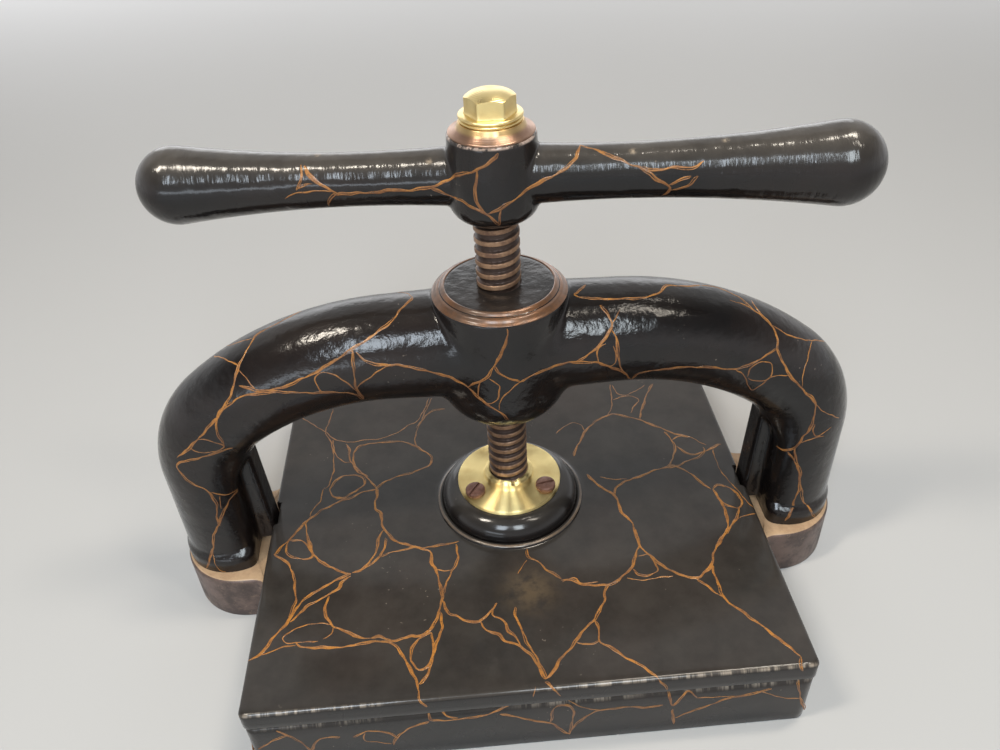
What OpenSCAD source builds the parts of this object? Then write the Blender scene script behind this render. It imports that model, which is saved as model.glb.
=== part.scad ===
// Nipping press: a cast-iron arch over a flat bed, a coarse screw, a sliding platen and a T-bar handle.
// Millimetres. X runs along the arch, Y runs away from the user and Z is up.
// The origin lies under the screw's axis, on the surface that the press stands on.
// The press is drawn closed, with the platen down on the bed.

/* [Bed] */
// Width of the bed and of the platen, along the arch
bed_w = 300; // [240:1:360]
// Depth of the bed and of the platen, front to back
bed_d = 280; // [200:1:340]
// Height of the bed's top face
bed_h = 38; // [34:0.5:50]
// Rounding of the bed's top edges
bed_edge_r = 5; // [2:0.5:8]
// Rounding of the bed's upright corners
bed_corner_r = 6; // [3:0.5:12]
// Thickness of the skirt round the hollow underside
bed_wall = 11; // [8:0.5:18]
// Thickness of the bed's top plate
bed_plate_t = 11; // [8:0.5:16]
// Thickness of the cross ribs under the bed
bed_rib_t = 10; // [6:0.5:16]
// How far the ribs stop short of the bench
bed_rib_lift = 2; // [1:0.5:6]
// Rounding of the upright corners of the pockets under the bed
pocket_r = 9; // [4:0.5:14]

/* [Lugs] */
// Radius of the round end of each foot lug
lug_r = 38.5; // [36:0.5:46]
// How far the lug's top lies below the bed's top
lug_drop = 5; // [2:0.5:8]
// Radius of the hollow corner between lug and bed
lug_fillet_r = 12; // [6:0.5:20]
// Distance of the lug's centre inwards from the leg's axis
lug_inset = 9; // [7:0.5:12]

/* [Arch] */
// Distance of each leg's axis outside the bed's side
leg_out = 28; // [27:0.5:36]
// Radius of the round legs and of the arms' outer stretch
leg_r = 27; // [24:0.5:28]
// Distance of the flat on the leg's inner side from the leg's axis
leg_flat = 17.5; // [14:0.5:20]
// Radius of the hollow run-out where that flat ends under the shoulder
flat_runout_r = 20; // [15:1:30]
// Radius of each arm where it grows out of the boss
arm_root_r = 32; // [30:0.5:34]
// Centre-line radius of the long bend next to the boss
crown_r = 160; // [130:1:180]
// Angle that the long bend turns through, in degrees
crown_angle = 38; // [28:1:42]
// Centre-line radius of the tight bend over the leg
shoulder_r = 47; // [40:1:56]
// Radius of the collar round each foot
foot_r = 30.5; // [29.5:0.5:33]
// Distance of the foot collar's centre inwards from the leg's axis
foot_inset = 2; // [0:0.5:3]
// Height of the foot collar
foot_h = 13; // [9:0.5:18]
// Rounding of the foot collar's top
foot_edge_r = 6; // [2:0.5:8]
// Width of the guide rib on each leg, front to back
guide_w = 17; // [12:0.5:24]
// How far the guide rib stands in over the bed's side, at the bed
guide_in = 1.5; // [1:0.25:4]
// How far the guide rib's inner face leans outwards over its height
guide_lean = 4; // [0:0.5:6]

/* [Arch boss] */
// Radius of the boss that the screw runs in
boss_r = 36.3; // [34:0.1:42]
// Height of the boss above the arms' axis
boss_above = 36; // [34:0.5:42]
// Height of the boss below the arms' axis
boss_below = 45; // [42:0.1:56]
// Radial width of the bevel round the boss's top
boss_bevel_w = 6.8; // [3:0.1:10]
// Height of that bevel
boss_bevel_h = 4.5; // [2:0.1:8]
// Rounding of the boss's lower end
boss_foot_r = 22; // [12:0.5:23]

/* [Platen] */
// Thickness of the platen's plate
platen_t = 12; // [10:0.5:18]
// Rounding of the platen's top edges
platen_edge_r = 2.5; // [1:0.25:4]
// Rounding of the platen's upright corners
platen_corner_r = 4; // [2:0.5:8]
// Height of the platen's boss above the plate
hub_rise = 14; // [12:0.5:20]
// Radius of the domed boss at the plate
dome_r = 42.5; // [40:0.5:50]
// Rounding of the dome
dome_round_r = 12; // [8:0.5:12]
// Radius of the bead round the boss, at its middle
bead_r = 44.2; // [43:0.2:52]
// Half thickness of the bead
bead_half = 2; // [1:0.1:2.5]
// Radius of the socket for the screw's foot
socket_r = 19.5; // [17:0.25:21]
// Depth of the socket below the boss's top
socket_depth = 18; // [16:0.5:19]

/* [Retaining collar] */
// Radius of the brass flange
flange_r = 32; // [31:0.25:36]
// Thickness of the flange at its rim
flange_t = 3; // [2:0.25:5]
// Rise of the flange's cone from the rim to the neck
flange_cone = 1.5; // [0.5:0.1:3]
// Radius of the neck
neck_r = 15.2; // [14.5:0.1:17]
// Height of the neck above the cone
neck_h = 5.5; // [3:0.25:8]
// Rounding of the neck's top
neck_round_r = 1.5; // [0.5:0.1:2]
// Radius of the circle of flange screws
screw_circle_r = 25; // [24:0.25:26]
// Radius of a flange screw's head
head_r = 6; // [5:0.1:6.5]
// Height of that head above the flange
head_h = 2.6; // [1.5:0.1:4]
// Radius of that screw's shank
shank_r = 2.75; // [2:0.05:3.5]
// Depth of that screw below the flange
shank_len = 15; // [8:0.5:18]
// Width of the slot in the head
slot_w = 1.3; // [0.8:0.1:2]
// Depth of the slot in the head
slot_d = 1.2; // [0.6:0.1:1.4]

/* [Spindle] */
// Outer radius of the screw's thread
spindle_r = 11.8; // [10.5:0.1:12.5]
// Rise of the screw in one turn
lead = 6.35; // [4:0.05:10]
// Turns from closed to fully open
turns = 7; // [4:1:9]
// Thickness of the thrust disc under the screw
thrust_t = 4; // [3:0.25:5]
// Radius of the screw's foot
spindle_foot_r = 19; // [16:0.25:20]
// Thickness of the screw's foot
spindle_foot_t = 8; // [6:0.25:9]
// Side of the square that carries the handle
square_side = 15; // [12:0.1:16]
// Radius of the stud that takes the top nut
stud_r = 6.5; // [5:0.1:7.4]

/* [Handle] */
// Clear height between the arch's boss and the handle's hub, closed
hub_gap = 39; // [30:0.5:55]
// Height of the hub
hub_h = 43; // [39:0.5:50]
// Height of the grips' axis above the hub's lower end
grip_up = 21; // [18:0.5:24]
// Radius of the hub at its top
hub_top_r = 21.4; // [20:0.1:24]
// Radius of the hub at its widest, above the rounded lower end
hub_low_r = 22.8; // [21:0.1:26]
// Rounding of the hub's lower end
hub_foot_r = 10; // [6:0.5:11]
// Rounding of the hub's top edge
hub_edge_r = 1; // [0.5:0.25:2]
// Reach of each grip from the screw's axis
grip_reach = 181; // [150:1:220]
// Radius of the grip at its waist
waist_r = 13.1; // [11:0.1:16]
// Distance of the waist from the screw's axis
waist_at = 63; // [55:1:80]
// Radius of the long hollow curve that swells each grip
swell_r = 720; // [450:5:900]
// Turn of the handle at rest, in degrees
handle_angle = -9.5; // [-90:0.5:90]
// Tilt of the line through both grips, right end up, in degrees
grip_tilt = 2; // [-3:0.5:3]

/* [Top nut] */
// Lower radius of the flared washer
washer_low_r = 20.8; // [18:0.1:21.2]
// Upper radius of the flared washer
washer_top_r = 15.9; // [14:0.1:17]
// Height of the flared washer
washer_h = 5.5; // [4:0.25:9]
// Radius of the nut's flange
nut_flange_r = 15.4; // [14:0.1:17]
// Height of the nut's flange
nut_flange_h = 3.6; // [2:0.1:6]
// Width of the hexagon across its flats
nut_af = 21.5; // [18:0.25:24]
// Height of the hexagon
nut_hex_h = 10.5; // [6:0.25:14]
// Height of the bevel on the hexagon's corners
nut_bevel_h = 2.6; // [1:0.1:4]
// Radial width of that bevel
nut_bevel_w = 3.9; // [1.5:0.1:5]
// Turn of the nut at rest, in degrees
nut_angle = -2; // [-30:0.5:30]

/* [Arch bolts] */
// Radius of the bolts that hold the feet
bolt_r = 8; // [6:0.25:9]
// Depth of the bolt in the leg
bolt_grip = 42; // [25:1:55]
// Width of the bolt's head across its flats
bolt_af = 24; // [18:0.5:26]
// Height of the bolt's head
bolt_head_h = 10; // [6:0.5:11]
// Outer radius of the washer
bolt_washer_r = 15; // [14.5:0.25:16]
// Thickness of the washer
bolt_washer_t = 2.5; // [1.5:0.25:4]
// Radius of the recess for the bolt's head
recess_r = 17.5; // [17:0.25:20]
// Depth of the recess
recess_depth = 16; // [15:0.5:18]

/* [Clearances] */
// Radial clearance of the screw in the arch and in the collar
run_clear = 0.06; // [0.02:0.01:0.1]
// Clearance between pieces that move past each other
move_clear = 0.8; // [0.4:0.1:1.5]
// Clearance between fixed pieces that fit into each other
fit_clear = 0.1; // [0.05:0.01:0.2]
// End play of the screw's foot under the collar
end_play = 0.4; // [0.3:0.1:0.8]
// Height between the collar and the arch's boss with the press fully open
lift_clear = 8.8; // [2:0.1:12]

/* [Hidden] */
$fn = 96;

// Amount that a cutting tool runs past the face it cuts, and that joined shapes run into each other
over = 1;
// Step in radius from one stretch of a bar to the next, which lets each end inside its neighbour
blend_step = 0.05;

// Heights of the stack of pieces on the screw's axis, from the bed upwards
platen_top = bed_h + platen_t;
platen_boss_top = platen_top + hub_rise;
socket_floor = platen_boss_top - socket_depth;
thrust_top = socket_floor + thrust_t;
spindle_foot_top = thrust_top + spindle_foot_t;
cone_top = platen_boss_top + flange_t + flange_cone;
collar_top = cone_top + neck_h;
travel = turns * lead;
boss_bottom = collar_top + travel + lift_clear;
arm_z = boss_bottom + boss_below;
boss_top = arm_z + boss_above;
hub_bottom = boss_top + hub_gap;
grip_z = hub_bottom + grip_up;
hub_top = hub_bottom + hub_h;
washer_top = hub_top + washer_h;
hex_bottom = washer_top + nut_flange_h;
nut_top = hex_bottom + nut_hex_h;
stud_top = nut_top - nut_bevel_h - over;

// Places of the legs and of what stands on them
lug_top = bed_h - lug_drop;
leg_x = bed_w / 2 + leg_out;
lug_x = leg_x - lug_inset;
foot_x = leg_x - foot_inset;
flat_x = leg_x - leg_flat;
guide_x = bed_w / 2 - guide_in;
crown_start = leg_x - crown_r * sin(crown_angle) - shoulder_r * (1 - sin(crown_angle));
shoulder_x = leg_x - shoulder_r;
shoulder_z = arm_z - crown_r * (1 - cos(crown_angle)) - shoulder_r * cos(crown_angle);

// Round end of a grip: a ball that touches the long hollow curve and ends at the reach
ball_end = grip_reach - blend_step;
grip_run = ball_end - waist_at;
ball_r = (pow(grip_run, 2) + pow(waist_r + swell_r, 2) - pow(swell_r, 2)) / (2 * (swell_r + grip_run));
ball_at = ball_end - ball_r;
touch_at = waist_at + (ball_at - waist_at) * swell_r / (swell_r + ball_r);

// Directions of the three flange screws round the screw's axis
left_screw = 210;
right_screw = 330;
rear_screw = 90;

iron = [0.06, 0.055, 0.055];
brass = [0.80, 0.63, 0.28];
steel = [0.36, 0.27, 0.21];
rust = [0.38, 0.20, 0.12];

// Rectangle about the origin with round corners
module round_rect(w, d, r) {
    square([w - 2 * r, d], center = true);
    square([w, d - 2 * r], center = true);
    for (x = [-1, 1], y = [-1, 1])
        translate([x * (w / 2 - r), y * (d / 2 - r)]) circle(r);
}

// Upright outline of a slab, standing on the line of its width, with its two upper corners round
module slab_end(w, h, r) {
    translate([-w / 2, 0]) square([w, h - r]);
    translate([-w / 2 + r, 0]) square([w - 2 * r, h]);
    for (x = [-1, 1])
        translate([x * (w / 2 - r), h - r]) circle(r);
}

// Slab with round upright corners and round top edges
module slab(w, d, h, corner_r, edge_r) {
    intersection() {
        linear_extrude(h) round_rect(w, d, corner_r);
        rotate([90, 0, 0]) linear_extrude(d + 2 * over, center = true) slab_end(w, h, edge_r);
        rotate([90, 0, 90]) linear_extrude(w + 2 * over, center = true) slab_end(d, h, edge_r);
    }
}

// Half section of a turned post from the axis outwards, with its lower outer corner round
module post_section(r, h, foot_round) {
    square([r - foot_round, h]);
    translate([0, foot_round]) square([r, h - foot_round]);
    translate([r - foot_round, foot_round]) intersection() {
        circle(foot_round);
        translate([0, -foot_round]) square([foot_round, 2 * foot_round]);
    }
}

// Half section of a turned post with its upper outer corner round
module cap_section(r, h, top_round) {
    translate([0, h]) mirror([0, 1]) post_section(r, h, top_round);
}

// Plan of one foot lug on the right-hand side
module lug_plan() {
    translate([bed_w / 2 - bed_wall, -lug_r]) square([lug_x - bed_w / 2 + bed_wall, 2 * lug_r]);
    translate([lug_x, 0]) circle(lug_r);
    for (y = [0, 1]) mirror([0, y]) translate([bed_w / 2, lug_r]) difference() {
        translate([-over, -over]) square(lug_fillet_r + over);
        translate([lug_fillet_r, lug_fillet_r]) circle(lug_fillet_r);
    }
}

// The four pockets under the bed, between the skirt and the cross ribs
module bed_pockets() {
    inner_w = bed_w - 2 * bed_wall;
    inner_d = bed_d - 2 * bed_wall;
    pocket_w = (inner_w - bed_rib_t) / 2;
    pocket_d = (inner_d - bed_rib_t) / 2;
    pocket_h = bed_h - bed_plate_t;
    for (x = [-1, 1], y = [-1, 1])
        translate([x * (pocket_w + bed_rib_t) / 2, y * (pocket_d + bed_rib_t) / 2, -over])
            linear_extrude(pocket_h + over) round_rect(pocket_w, pocket_d, pocket_r);
    translate([0, 0, -over]) linear_extrude(bed_rib_lift + over) round_rect(inner_w, inner_d, pocket_r);
}

module base_plate() {
    color(iron) difference() {
        union() {
            slab(bed_w, bed_d, bed_h, bed_corner_r, bed_edge_r);
            for (side = [0, 1]) mirror([side, 0, 0]) linear_extrude(lug_top) lug_plan();
        }
        bed_pockets();
        for (x = [-leg_x, leg_x]) translate([x, 0, 0]) {
            translate([0, 0, -over]) cylinder(h = recess_depth + over, r = recess_r);
            cylinder(h = lug_top + over, r = bolt_r + fit_clear);
        }
    }
}

// One arm from the boss out to the leg, on the right-hand side, with its axis in the XZ plane
module arm() {
    lap_angle = over / shoulder_r * 180 / PI;
    translate([0, 0, arm_z]) rotate([0, 90, 0])
        cylinder(h = crown_start + over, r1 = arm_root_r, r2 = leg_r - blend_step);
    translate([crown_start, 0, arm_z - crown_r]) rotate([90, 0, 0]) rotate([0, 0, 90 - crown_angle])
        rotate_extrude(angle = crown_angle) translate([crown_r, 0]) circle(leg_r);
    translate([shoulder_x, 0, shoulder_z]) rotate([90, 0, 0])
        rotate_extrude(angle = 90 - crown_angle + lap_angle) translate([shoulder_r, 0]) circle(leg_r - blend_step);
    translate([leg_x, 0, lug_top]) cylinder(h = shoulder_z + over - lug_top, r = leg_r - 2 * blend_step);
}

// Space cut away on the leg's inner side: a flat that ends in a hollow under the shoulder
module leg_flat_cut() {
    side = 2 * foot_r + 2 * over;
    runout_z = shoulder_z - flat_runout_r / 2;
    translate([flat_x - foot_r, -side / 2, lug_top - over])
        cube([foot_r, side, runout_z - lug_top + over]);
    translate([flat_x - flat_runout_r, 0, runout_z]) rotate([90, 0, 0])
        cylinder(h = side, r = flat_runout_r, center = true);
}

// Upright outline of the guide rib, from the bed up into the shoulder
module guide_side() {
    guide_top = shoulder_z + leg_r;
    polygon([
        [guide_x, bed_h], [flat_x + over, bed_h], [flat_x + over, guide_top], [guide_x + guide_lean, guide_top]
    ]);
}

// One leg with its arm, its foot collar and its guide rib, on the right-hand side
module arch_side() {
    difference() {
        union() {
            arm();
            translate([foot_x, 0, lug_top]) rotate_extrude() cap_section(foot_r, foot_h, foot_edge_r);
        }
        leg_flat_cut();
        translate([leg_x, 0, lug_top - over]) cylinder(h = bolt_grip + 2 * over, r = bolt_r + fit_clear);
    }
    rotate([90, 0, 0]) linear_extrude(guide_w, center = true) guide_side();
}

// Half section of the arch's boss
module boss_section() {
    wall_h = boss_top - boss_bevel_h - boss_bottom;
    translate([0, boss_bottom]) post_section(boss_r, wall_h, boss_foot_r);
    translate([0, boss_bottom + wall_h]) polygon([
        [0, 0], [boss_r, 0], [boss_r - boss_bevel_w, boss_bevel_h], [0, boss_bevel_h]
    ]);
}

module arch_frame() {
    color(iron) difference() {
        union() {
            rotate_extrude() boss_section();
            for (side = [0, 1]) mirror([side, 0, 0]) arch_side();
        }
        translate([0, 0, boss_bottom - over])
            cylinder(h = boss_top - boss_bottom + 2 * over, r = spindle_r + run_clear);
    }
}

module arch_bolt(x) {
    head_top = recess_depth - bolt_washer_t;
    color(steel) translate([x, 0, 0]) {
        translate([0, 0, head_top - bolt_head_h]) cylinder(h = bolt_head_h, d = bolt_af / cos(30), $fn = 6);
        translate([0, 0, head_top - over]) cylinder(h = lug_top + bolt_grip - head_top + over, r = bolt_r);
    }
}

module arch_washer(x) {
    color(steel) translate([x, 0, recess_depth - bolt_washer_t]) difference() {
        cylinder(h = bolt_washer_t, r = bolt_washer_r);
        translate([0, 0, -over]) cylinder(h = bolt_washer_t + 2 * over, r = bolt_r + fit_clear);
    }
}

// Half section of the platen's boss above the plate: a dome with a bead round its foot
module platen_boss_section() {
    square([dome_r - dome_round_r, hub_rise]);
    square([dome_r, hub_rise - dome_round_r]);
    translate([dome_r - dome_round_r, hub_rise - dome_round_r]) intersection() {
        circle(dome_round_r);
        square(dome_round_r);
    }
    translate([bead_r, 0]) intersection() {
        circle(bead_half);
        translate([-bead_half, 0]) square([2 * bead_half, bead_half]);
    }
}

module platen() {
    notch_x = guide_x - move_clear;
    notch_w = guide_w + 2 * move_clear;
    color(iron) difference() {
        union() {
            translate([0, 0, bed_h]) slab(bed_w, bed_d, platen_t, platen_corner_r, platen_edge_r);
            translate([0, 0, platen_top]) rotate_extrude() platen_boss_section();
        }
        translate([0, 0, socket_floor]) cylinder(h = socket_depth + over, r = socket_r);
        for (side = [0, 1]) mirror([side, 0, 0]) translate([notch_x, -notch_w / 2, bed_h - over])
            cube([bed_w / 2 - notch_x + over, notch_w, platen_t + 2 * over]);
        for (turn = [left_screw, right_screw, rear_screw]) rotate(turn)
            translate([screw_circle_r, 0, platen_boss_top - shank_len + flange_t - over])
                cylinder(h = shank_len + over, r = shank_r + fit_clear);
    }
}

module thrust_disc() {
    color(steel) translate([0, 0, socket_floor]) cylinder(h = thrust_t, r = spindle_foot_r);
}

// Half section of the brass collar: spigot, flange, cone and neck
module collar_section() {
    spigot_h = platen_boss_top - spindle_foot_top - end_play;
    translate([0, -spigot_h]) square([socket_r - fit_clear, spigot_h]);
    polygon([
        [0, 0], [flange_r, 0], [flange_r, flange_t], [neck_r, flange_t + flange_cone], [0, flange_t + flange_cone]
    ]);
    translate([0, flange_t + flange_cone]) cap_section(neck_r, neck_h, neck_round_r);
}

module retaining_collar() {
    color(brass) difference() {
        translate([0, 0, platen_boss_top]) rotate_extrude() collar_section();
        translate([0, 0, spindle_foot_top]) cylinder(h = collar_top, r = spindle_r + run_clear);
        for (turn = [left_screw, right_screw, rear_screw]) rotate(turn)
            translate([screw_circle_r, 0, platen_boss_top]) {
                translate([0, 0, -over]) cylinder(h = cone_top, r = shank_r + fit_clear);
                translate([0, 0, flange_t]) cylinder(h = cone_top, r = head_r + fit_clear);
            }
    }
}

module collar_screw(turn) {
    seat = platen_boss_top + flange_t;
    top = seat + flange_cone / 2 + head_h;
    color(rust) rotate(turn) translate([screw_circle_r, 0, 0]) difference() {
        union() {
            translate([0, 0, seat - shank_len]) cylinder(h = shank_len + over, r = shank_r);
            translate([0, 0, seat]) rotate_extrude() cap_section(head_r, top - seat, head_h / 2);
        }
        translate([-head_r - over, -slot_w / 2, top - slot_d]) cube([2 * head_r + 2 * over, slot_w, slot_d + over]);
    }
}

module spindle() {
    color(steel) {
        translate([0, 0, thrust_top]) cylinder(h = spindle_foot_t, r = spindle_foot_r);
        translate([0, 0, spindle_foot_top - over])
            cylinder(h = hub_bottom - spindle_foot_top + over, r = spindle_r);
        rotate(handle_angle) translate([-square_side / 2, -square_side / 2, hub_bottom - over])
            cube([square_side, square_side, hub_h + over]);
        translate([0, 0, hub_top - over]) cylinder(h = stud_top - hub_top + over, r = stud_r);
    }
}

// Half section of one grip along its axis: a hollow swelling curve and a ball at the end
module grip_section() {
    difference() {
        translate([0, -over]) square([waist_r + ball_r, touch_at + over]);
        translate([waist_r + swell_r, waist_at]) circle(swell_r, $fn = 360);
    }
    translate([0, ball_at]) intersection() {
        circle(ball_r + blend_step);
        translate([0, -2 * ball_r]) square([2 * ball_r, 4 * ball_r]);
    }
}

// Half section of the handle's hub: a slight taper over a rounded lower end
module hub_section() {
    post_section(hub_low_r, grip_up, hub_foot_r);
    translate([0, grip_up]) polygon([
        [0, 0], [hub_low_r, 0], [hub_top_r, hub_h - grip_up - hub_edge_r], [0, hub_h - grip_up - hub_edge_r]
    ]);
    translate([0, hub_h - 2 * hub_edge_r]) cap_section(hub_top_r, 2 * hub_edge_r, hub_edge_r);
}

module handle() {
    hole = square_side + 2 * fit_clear;
    color(iron) rotate(handle_angle) difference() {
        union() {
            translate([0, 0, hub_bottom]) rotate_extrude() hub_section();
            for (side = [-90, 90])
                translate([0, 0, grip_z]) rotate([0, side - grip_tilt, 0]) rotate_extrude() grip_section();
        }
        translate([-hole / 2, -hole / 2, hub_bottom - over]) cube([hole, hole, hub_h + 2 * over]);
    }
}

module handle_washer() {
    color(brass) translate([0, 0, hub_top]) difference() {
        cylinder(h = washer_h, r1 = washer_low_r, r2 = washer_top_r);
        translate([0, 0, -over]) cylinder(h = washer_h + 2 * over, r = stud_r + fit_clear);
    }
}

module cap_nut() {
    corner_r = nut_af / 2 / cos(30);
    cone_low_z = nut_hex_h - nut_bevel_h * (nut_bevel_w + over) / nut_bevel_w;
    color(brass) difference() {
        union() {
            translate([0, 0, washer_top]) cylinder(h = nut_flange_h, r = nut_flange_r);
            translate([0, 0, hex_bottom]) intersection() {
                rotate(nut_angle) cylinder(h = nut_hex_h + over, r = corner_r, $fn = 6);
                rotate_extrude() polygon([
                    [0, -over], [corner_r + over, -over], [corner_r + over, cone_low_z],
                    [corner_r - nut_bevel_w, nut_hex_h], [0, nut_hex_h]
                ]);
            }
        }
        translate([0, 0, washer_top - over]) cylinder(h = stud_top - washer_top + over, r = stud_r + fit_clear);
    }
}

base_plate();
arch_frame();
arch_bolt(-leg_x);  // arch_bolt_left
arch_bolt(leg_x);  // arch_bolt_right
arch_washer(-leg_x);  // arch_washer_left
arch_washer(leg_x);  // arch_washer_right
platen();
thrust_disc();
retaining_collar();
collar_screw(left_screw);  // collar_screw_left
collar_screw(right_screw);  // collar_screw_right
collar_screw(rear_screw);  // collar_screw_rear
spindle();
handle();
handle_washer();
cap_nut();
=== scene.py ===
"""Nipping press in black japan with painted gold veins: its looks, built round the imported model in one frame.

Shapes are worked out in millimetres and become metres when a mesh is made. X runs along the arch to the
user's right, Y away from the user and Z up. Every new piece is a surface on a grid, whose rows run along the
piece and whose columns run round it. The castings are also written as distances, negative inside, so that
the painted lines can be laid on them.
"""
import math

import bpy
import numpy as np
from mathutils import Matrix, Vector


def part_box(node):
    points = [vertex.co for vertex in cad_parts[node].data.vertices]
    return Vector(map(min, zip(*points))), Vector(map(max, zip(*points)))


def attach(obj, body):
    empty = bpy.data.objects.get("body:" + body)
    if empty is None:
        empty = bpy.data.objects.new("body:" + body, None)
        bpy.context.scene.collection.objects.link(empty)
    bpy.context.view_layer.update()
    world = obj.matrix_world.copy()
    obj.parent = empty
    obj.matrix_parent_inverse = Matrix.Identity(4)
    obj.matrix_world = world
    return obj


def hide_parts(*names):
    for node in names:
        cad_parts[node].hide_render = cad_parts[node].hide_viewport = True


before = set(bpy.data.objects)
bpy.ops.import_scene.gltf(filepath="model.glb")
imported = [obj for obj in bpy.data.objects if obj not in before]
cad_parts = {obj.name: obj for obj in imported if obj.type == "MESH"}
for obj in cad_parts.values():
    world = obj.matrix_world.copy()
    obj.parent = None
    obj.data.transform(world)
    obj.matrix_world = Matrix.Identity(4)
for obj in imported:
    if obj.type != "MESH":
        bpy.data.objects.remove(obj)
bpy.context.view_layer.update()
MM = 0.001
TURN = 2 * math.pi


def corners(node):
    """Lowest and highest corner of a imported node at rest, in millimetres."""
    low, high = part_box(node)
    return np.array(low) / MM, np.array(high) / MM


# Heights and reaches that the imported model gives
BED_TOP = corners("base_plate")[1][2]
PLATEN_LOW, PLATEN_HIGH = corners("platen")
ARCH_LOW, ARCH_HIGH = corners("arch_frame")
COLLAR_LOW, COLLAR_HIGH = corners("retaining_collar")
WASHER_LOW, WASHER_HIGH = corners("handle_washer")
NUT_LOW, NUT_HIGH = corners("cap_nut")
SPINDLE_LOW, SPINDLE_HIGH = corners("spindle")
SCREW_TOP = corners("collar_screw_left")[1][2]
HALF_W = PLATEN_HIGH[0]
HALF_D = PLATEN_HIGH[1]
LUG_TOP = ARCH_LOW[2]
BOSS_TOP = ARCH_HIGH[2]

# Camera at the photograph's viewing angle, and the size of the photograph that pixels are counted in
CAMERA_AT = (-0.017237, -0.382759, 0.440565)
CAMERA_YAW = -0.0393
CAMERA_PITCH = 0.6551
CAMERA_ROLL = -0.0546
CAMERA_LENS = 30.48
SENSOR_W = 36.0
IMAGE_W, IMAGE_H = 1000, 750

across = Vector((math.cos(CAMERA_YAW), math.sin(CAMERA_YAW), 0))
level = Vector((-math.sin(CAMERA_YAW), math.cos(CAMERA_YAW), 0))
AHEAD = level * math.cos(CAMERA_PITCH) - Vector((0, 0, math.sin(CAMERA_PITCH)))
upward = across.cross(AHEAD)
RIGHTWARD = across * math.cos(CAMERA_ROLL) + upward * math.sin(CAMERA_ROLL)
UPWARD = upward * math.cos(CAMERA_ROLL) - across * math.sin(CAMERA_ROLL)

# Grids, distances and skins

SHARP = math.radians(38)
HALVINGS = 26
SQUARE = ((-1, -1), (1, -1), (1, 1), (-1, 1))


def smooth_min(a, b, reach):
    """Union of two distances with a fillet: where they differ by less than reach, the least sinks by
    a quarter of (reach - difference) squared over reach."""
    gap = np.maximum(reach - np.abs(a - b), 0)
    return np.minimum(a, b) - gap * gap / (4 * reach)


def smooth_max(a, b, reach):
    """Intersection of two distances with a round edge, the mirror of smooth_min."""
    return -smooth_min(-a, -b, reach)


def round_post(out, over, rounding):
    """Distance to an upright post with a round end edge, from how far a point lies outside its wall and
    beyond its end: both plus the rounding make a corner whose distance is their length, less the rounding."""
    out, over = out + rounding, over + rounding
    return np.hypot(np.maximum(out, 0), np.maximum(over, 0)) + np.minimum(np.maximum(out, over), 0) - rounding


def ray_depth(solid, start, toward, reach):
    """How far each ray runs before it leaves a solid: the stretch from its start to reach is halved until it
    closes on the place where the solid's distance turns positive."""
    near, far = np.zeros_like(reach), reach.copy()
    for _ in range(HALVINGS):
        middle = (near + far) / 2
        inside = solid(start + middle[..., None] * toward) < 0
        near, far = np.where(inside, middle, near), np.where(inside, far, middle)
    return (near + far) / 2


def fan_rays(slant, end, out, back):
    """Starts along an axis and slants of rays that stand close to a hub: first they fan out on cones from the
    hub's middle in so many steps, then their starts move out to the end while they stand up again."""
    share = np.linspace(0, 1, back)[1:]
    starts = np.concatenate([np.zeros(out), end * share])
    return starts, np.concatenate([np.linspace(0, slant, out), slant * (1 - share)])


def normals_of(solid, p, step=0.05):
    """Outward directions of a solid's surface at points p, from the differences of its distance."""
    slope = np.stack([solid(p + e) - solid(p - e) for e in np.eye(3) * step], -1)
    return slope / np.linalg.norm(slope, axis=-1, keepdims=True)


def quads_of(rows, cols):
    """Corner numbers of the quads between neighbouring rings, where each row is a closed ring."""
    i = np.arange(rows - 1)[:, None] * cols
    j = np.arange(cols)[None, :]
    k = (j + 1) % cols
    return np.stack([i + j, i + k, i + cols + k, i + cols + j], -1).reshape(-1, 4)


def turned_outward(points, blocks):
    """Face blocks, all turned round together if the volume that they enclose comes out negative."""
    p = points - points.mean(0)
    fans = [p[block[:, (0, n, n + 1)]] for block in blocks for n in range(1, block.shape[1] - 1)]
    volume = sum(np.einsum("ij,ij->", fan[:, 0], np.cross(fan[:, 1], fan[:, 2])) for fan in fans)
    return points, [block if volume > 0 else block[:, ::-1] for block in blocks]


def closed_skin(rings):
    """Points and faces of a closed skin: quads between its rings, and fans that close its two end rings."""
    rows, cols = rings.shape[:2]
    points = np.concatenate([rings.reshape(-1, 3), rings[:1].mean(1), rings[-1:].mean(1)])
    j = np.arange(cols)
    k = (j + 1) % cols
    last = (rows - 1) * cols
    first_cap = np.stack([k, j, np.full(cols, rows * cols)], -1)
    last_cap = np.stack([last + j, last + k, np.full(cols, rows * cols + 1)], -1)
    return turned_outward(points, [quads_of(rows, cols), np.concatenate([first_cap, last_cap])])


def ring_skin(rings):
    """Points and faces of a skin whose last ring joins its first, such as a collar with a hole."""
    rows, cols = rings.shape[:2]
    return turned_outward(rings.reshape(-1, 3), [quads_of(rows + 1, cols) % (rows * cols)])


def joined(skins):
    """Points and faces of several skins as one."""
    counts = np.cumsum([0] + [len(points) for points, _ in skins])
    blocks = [block + count for (_, faces), count in zip(skins, counts) for block in faces]
    return np.concatenate([points for points, _ in skins]), blocks


def mesh_of(name, points, blocks):
    """Blender mesh of millimetre points, smooth except at sharp edges."""
    mesh = bpy.data.meshes.new(name)
    mesh.from_pydata((points * MM).tolist(), [], [face for block in blocks for face in block.tolist()])
    mesh.validate()
    mesh.shade_smooth()
    mesh.set_sharp_from_angle(angle=SHARP)
    return mesh


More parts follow.
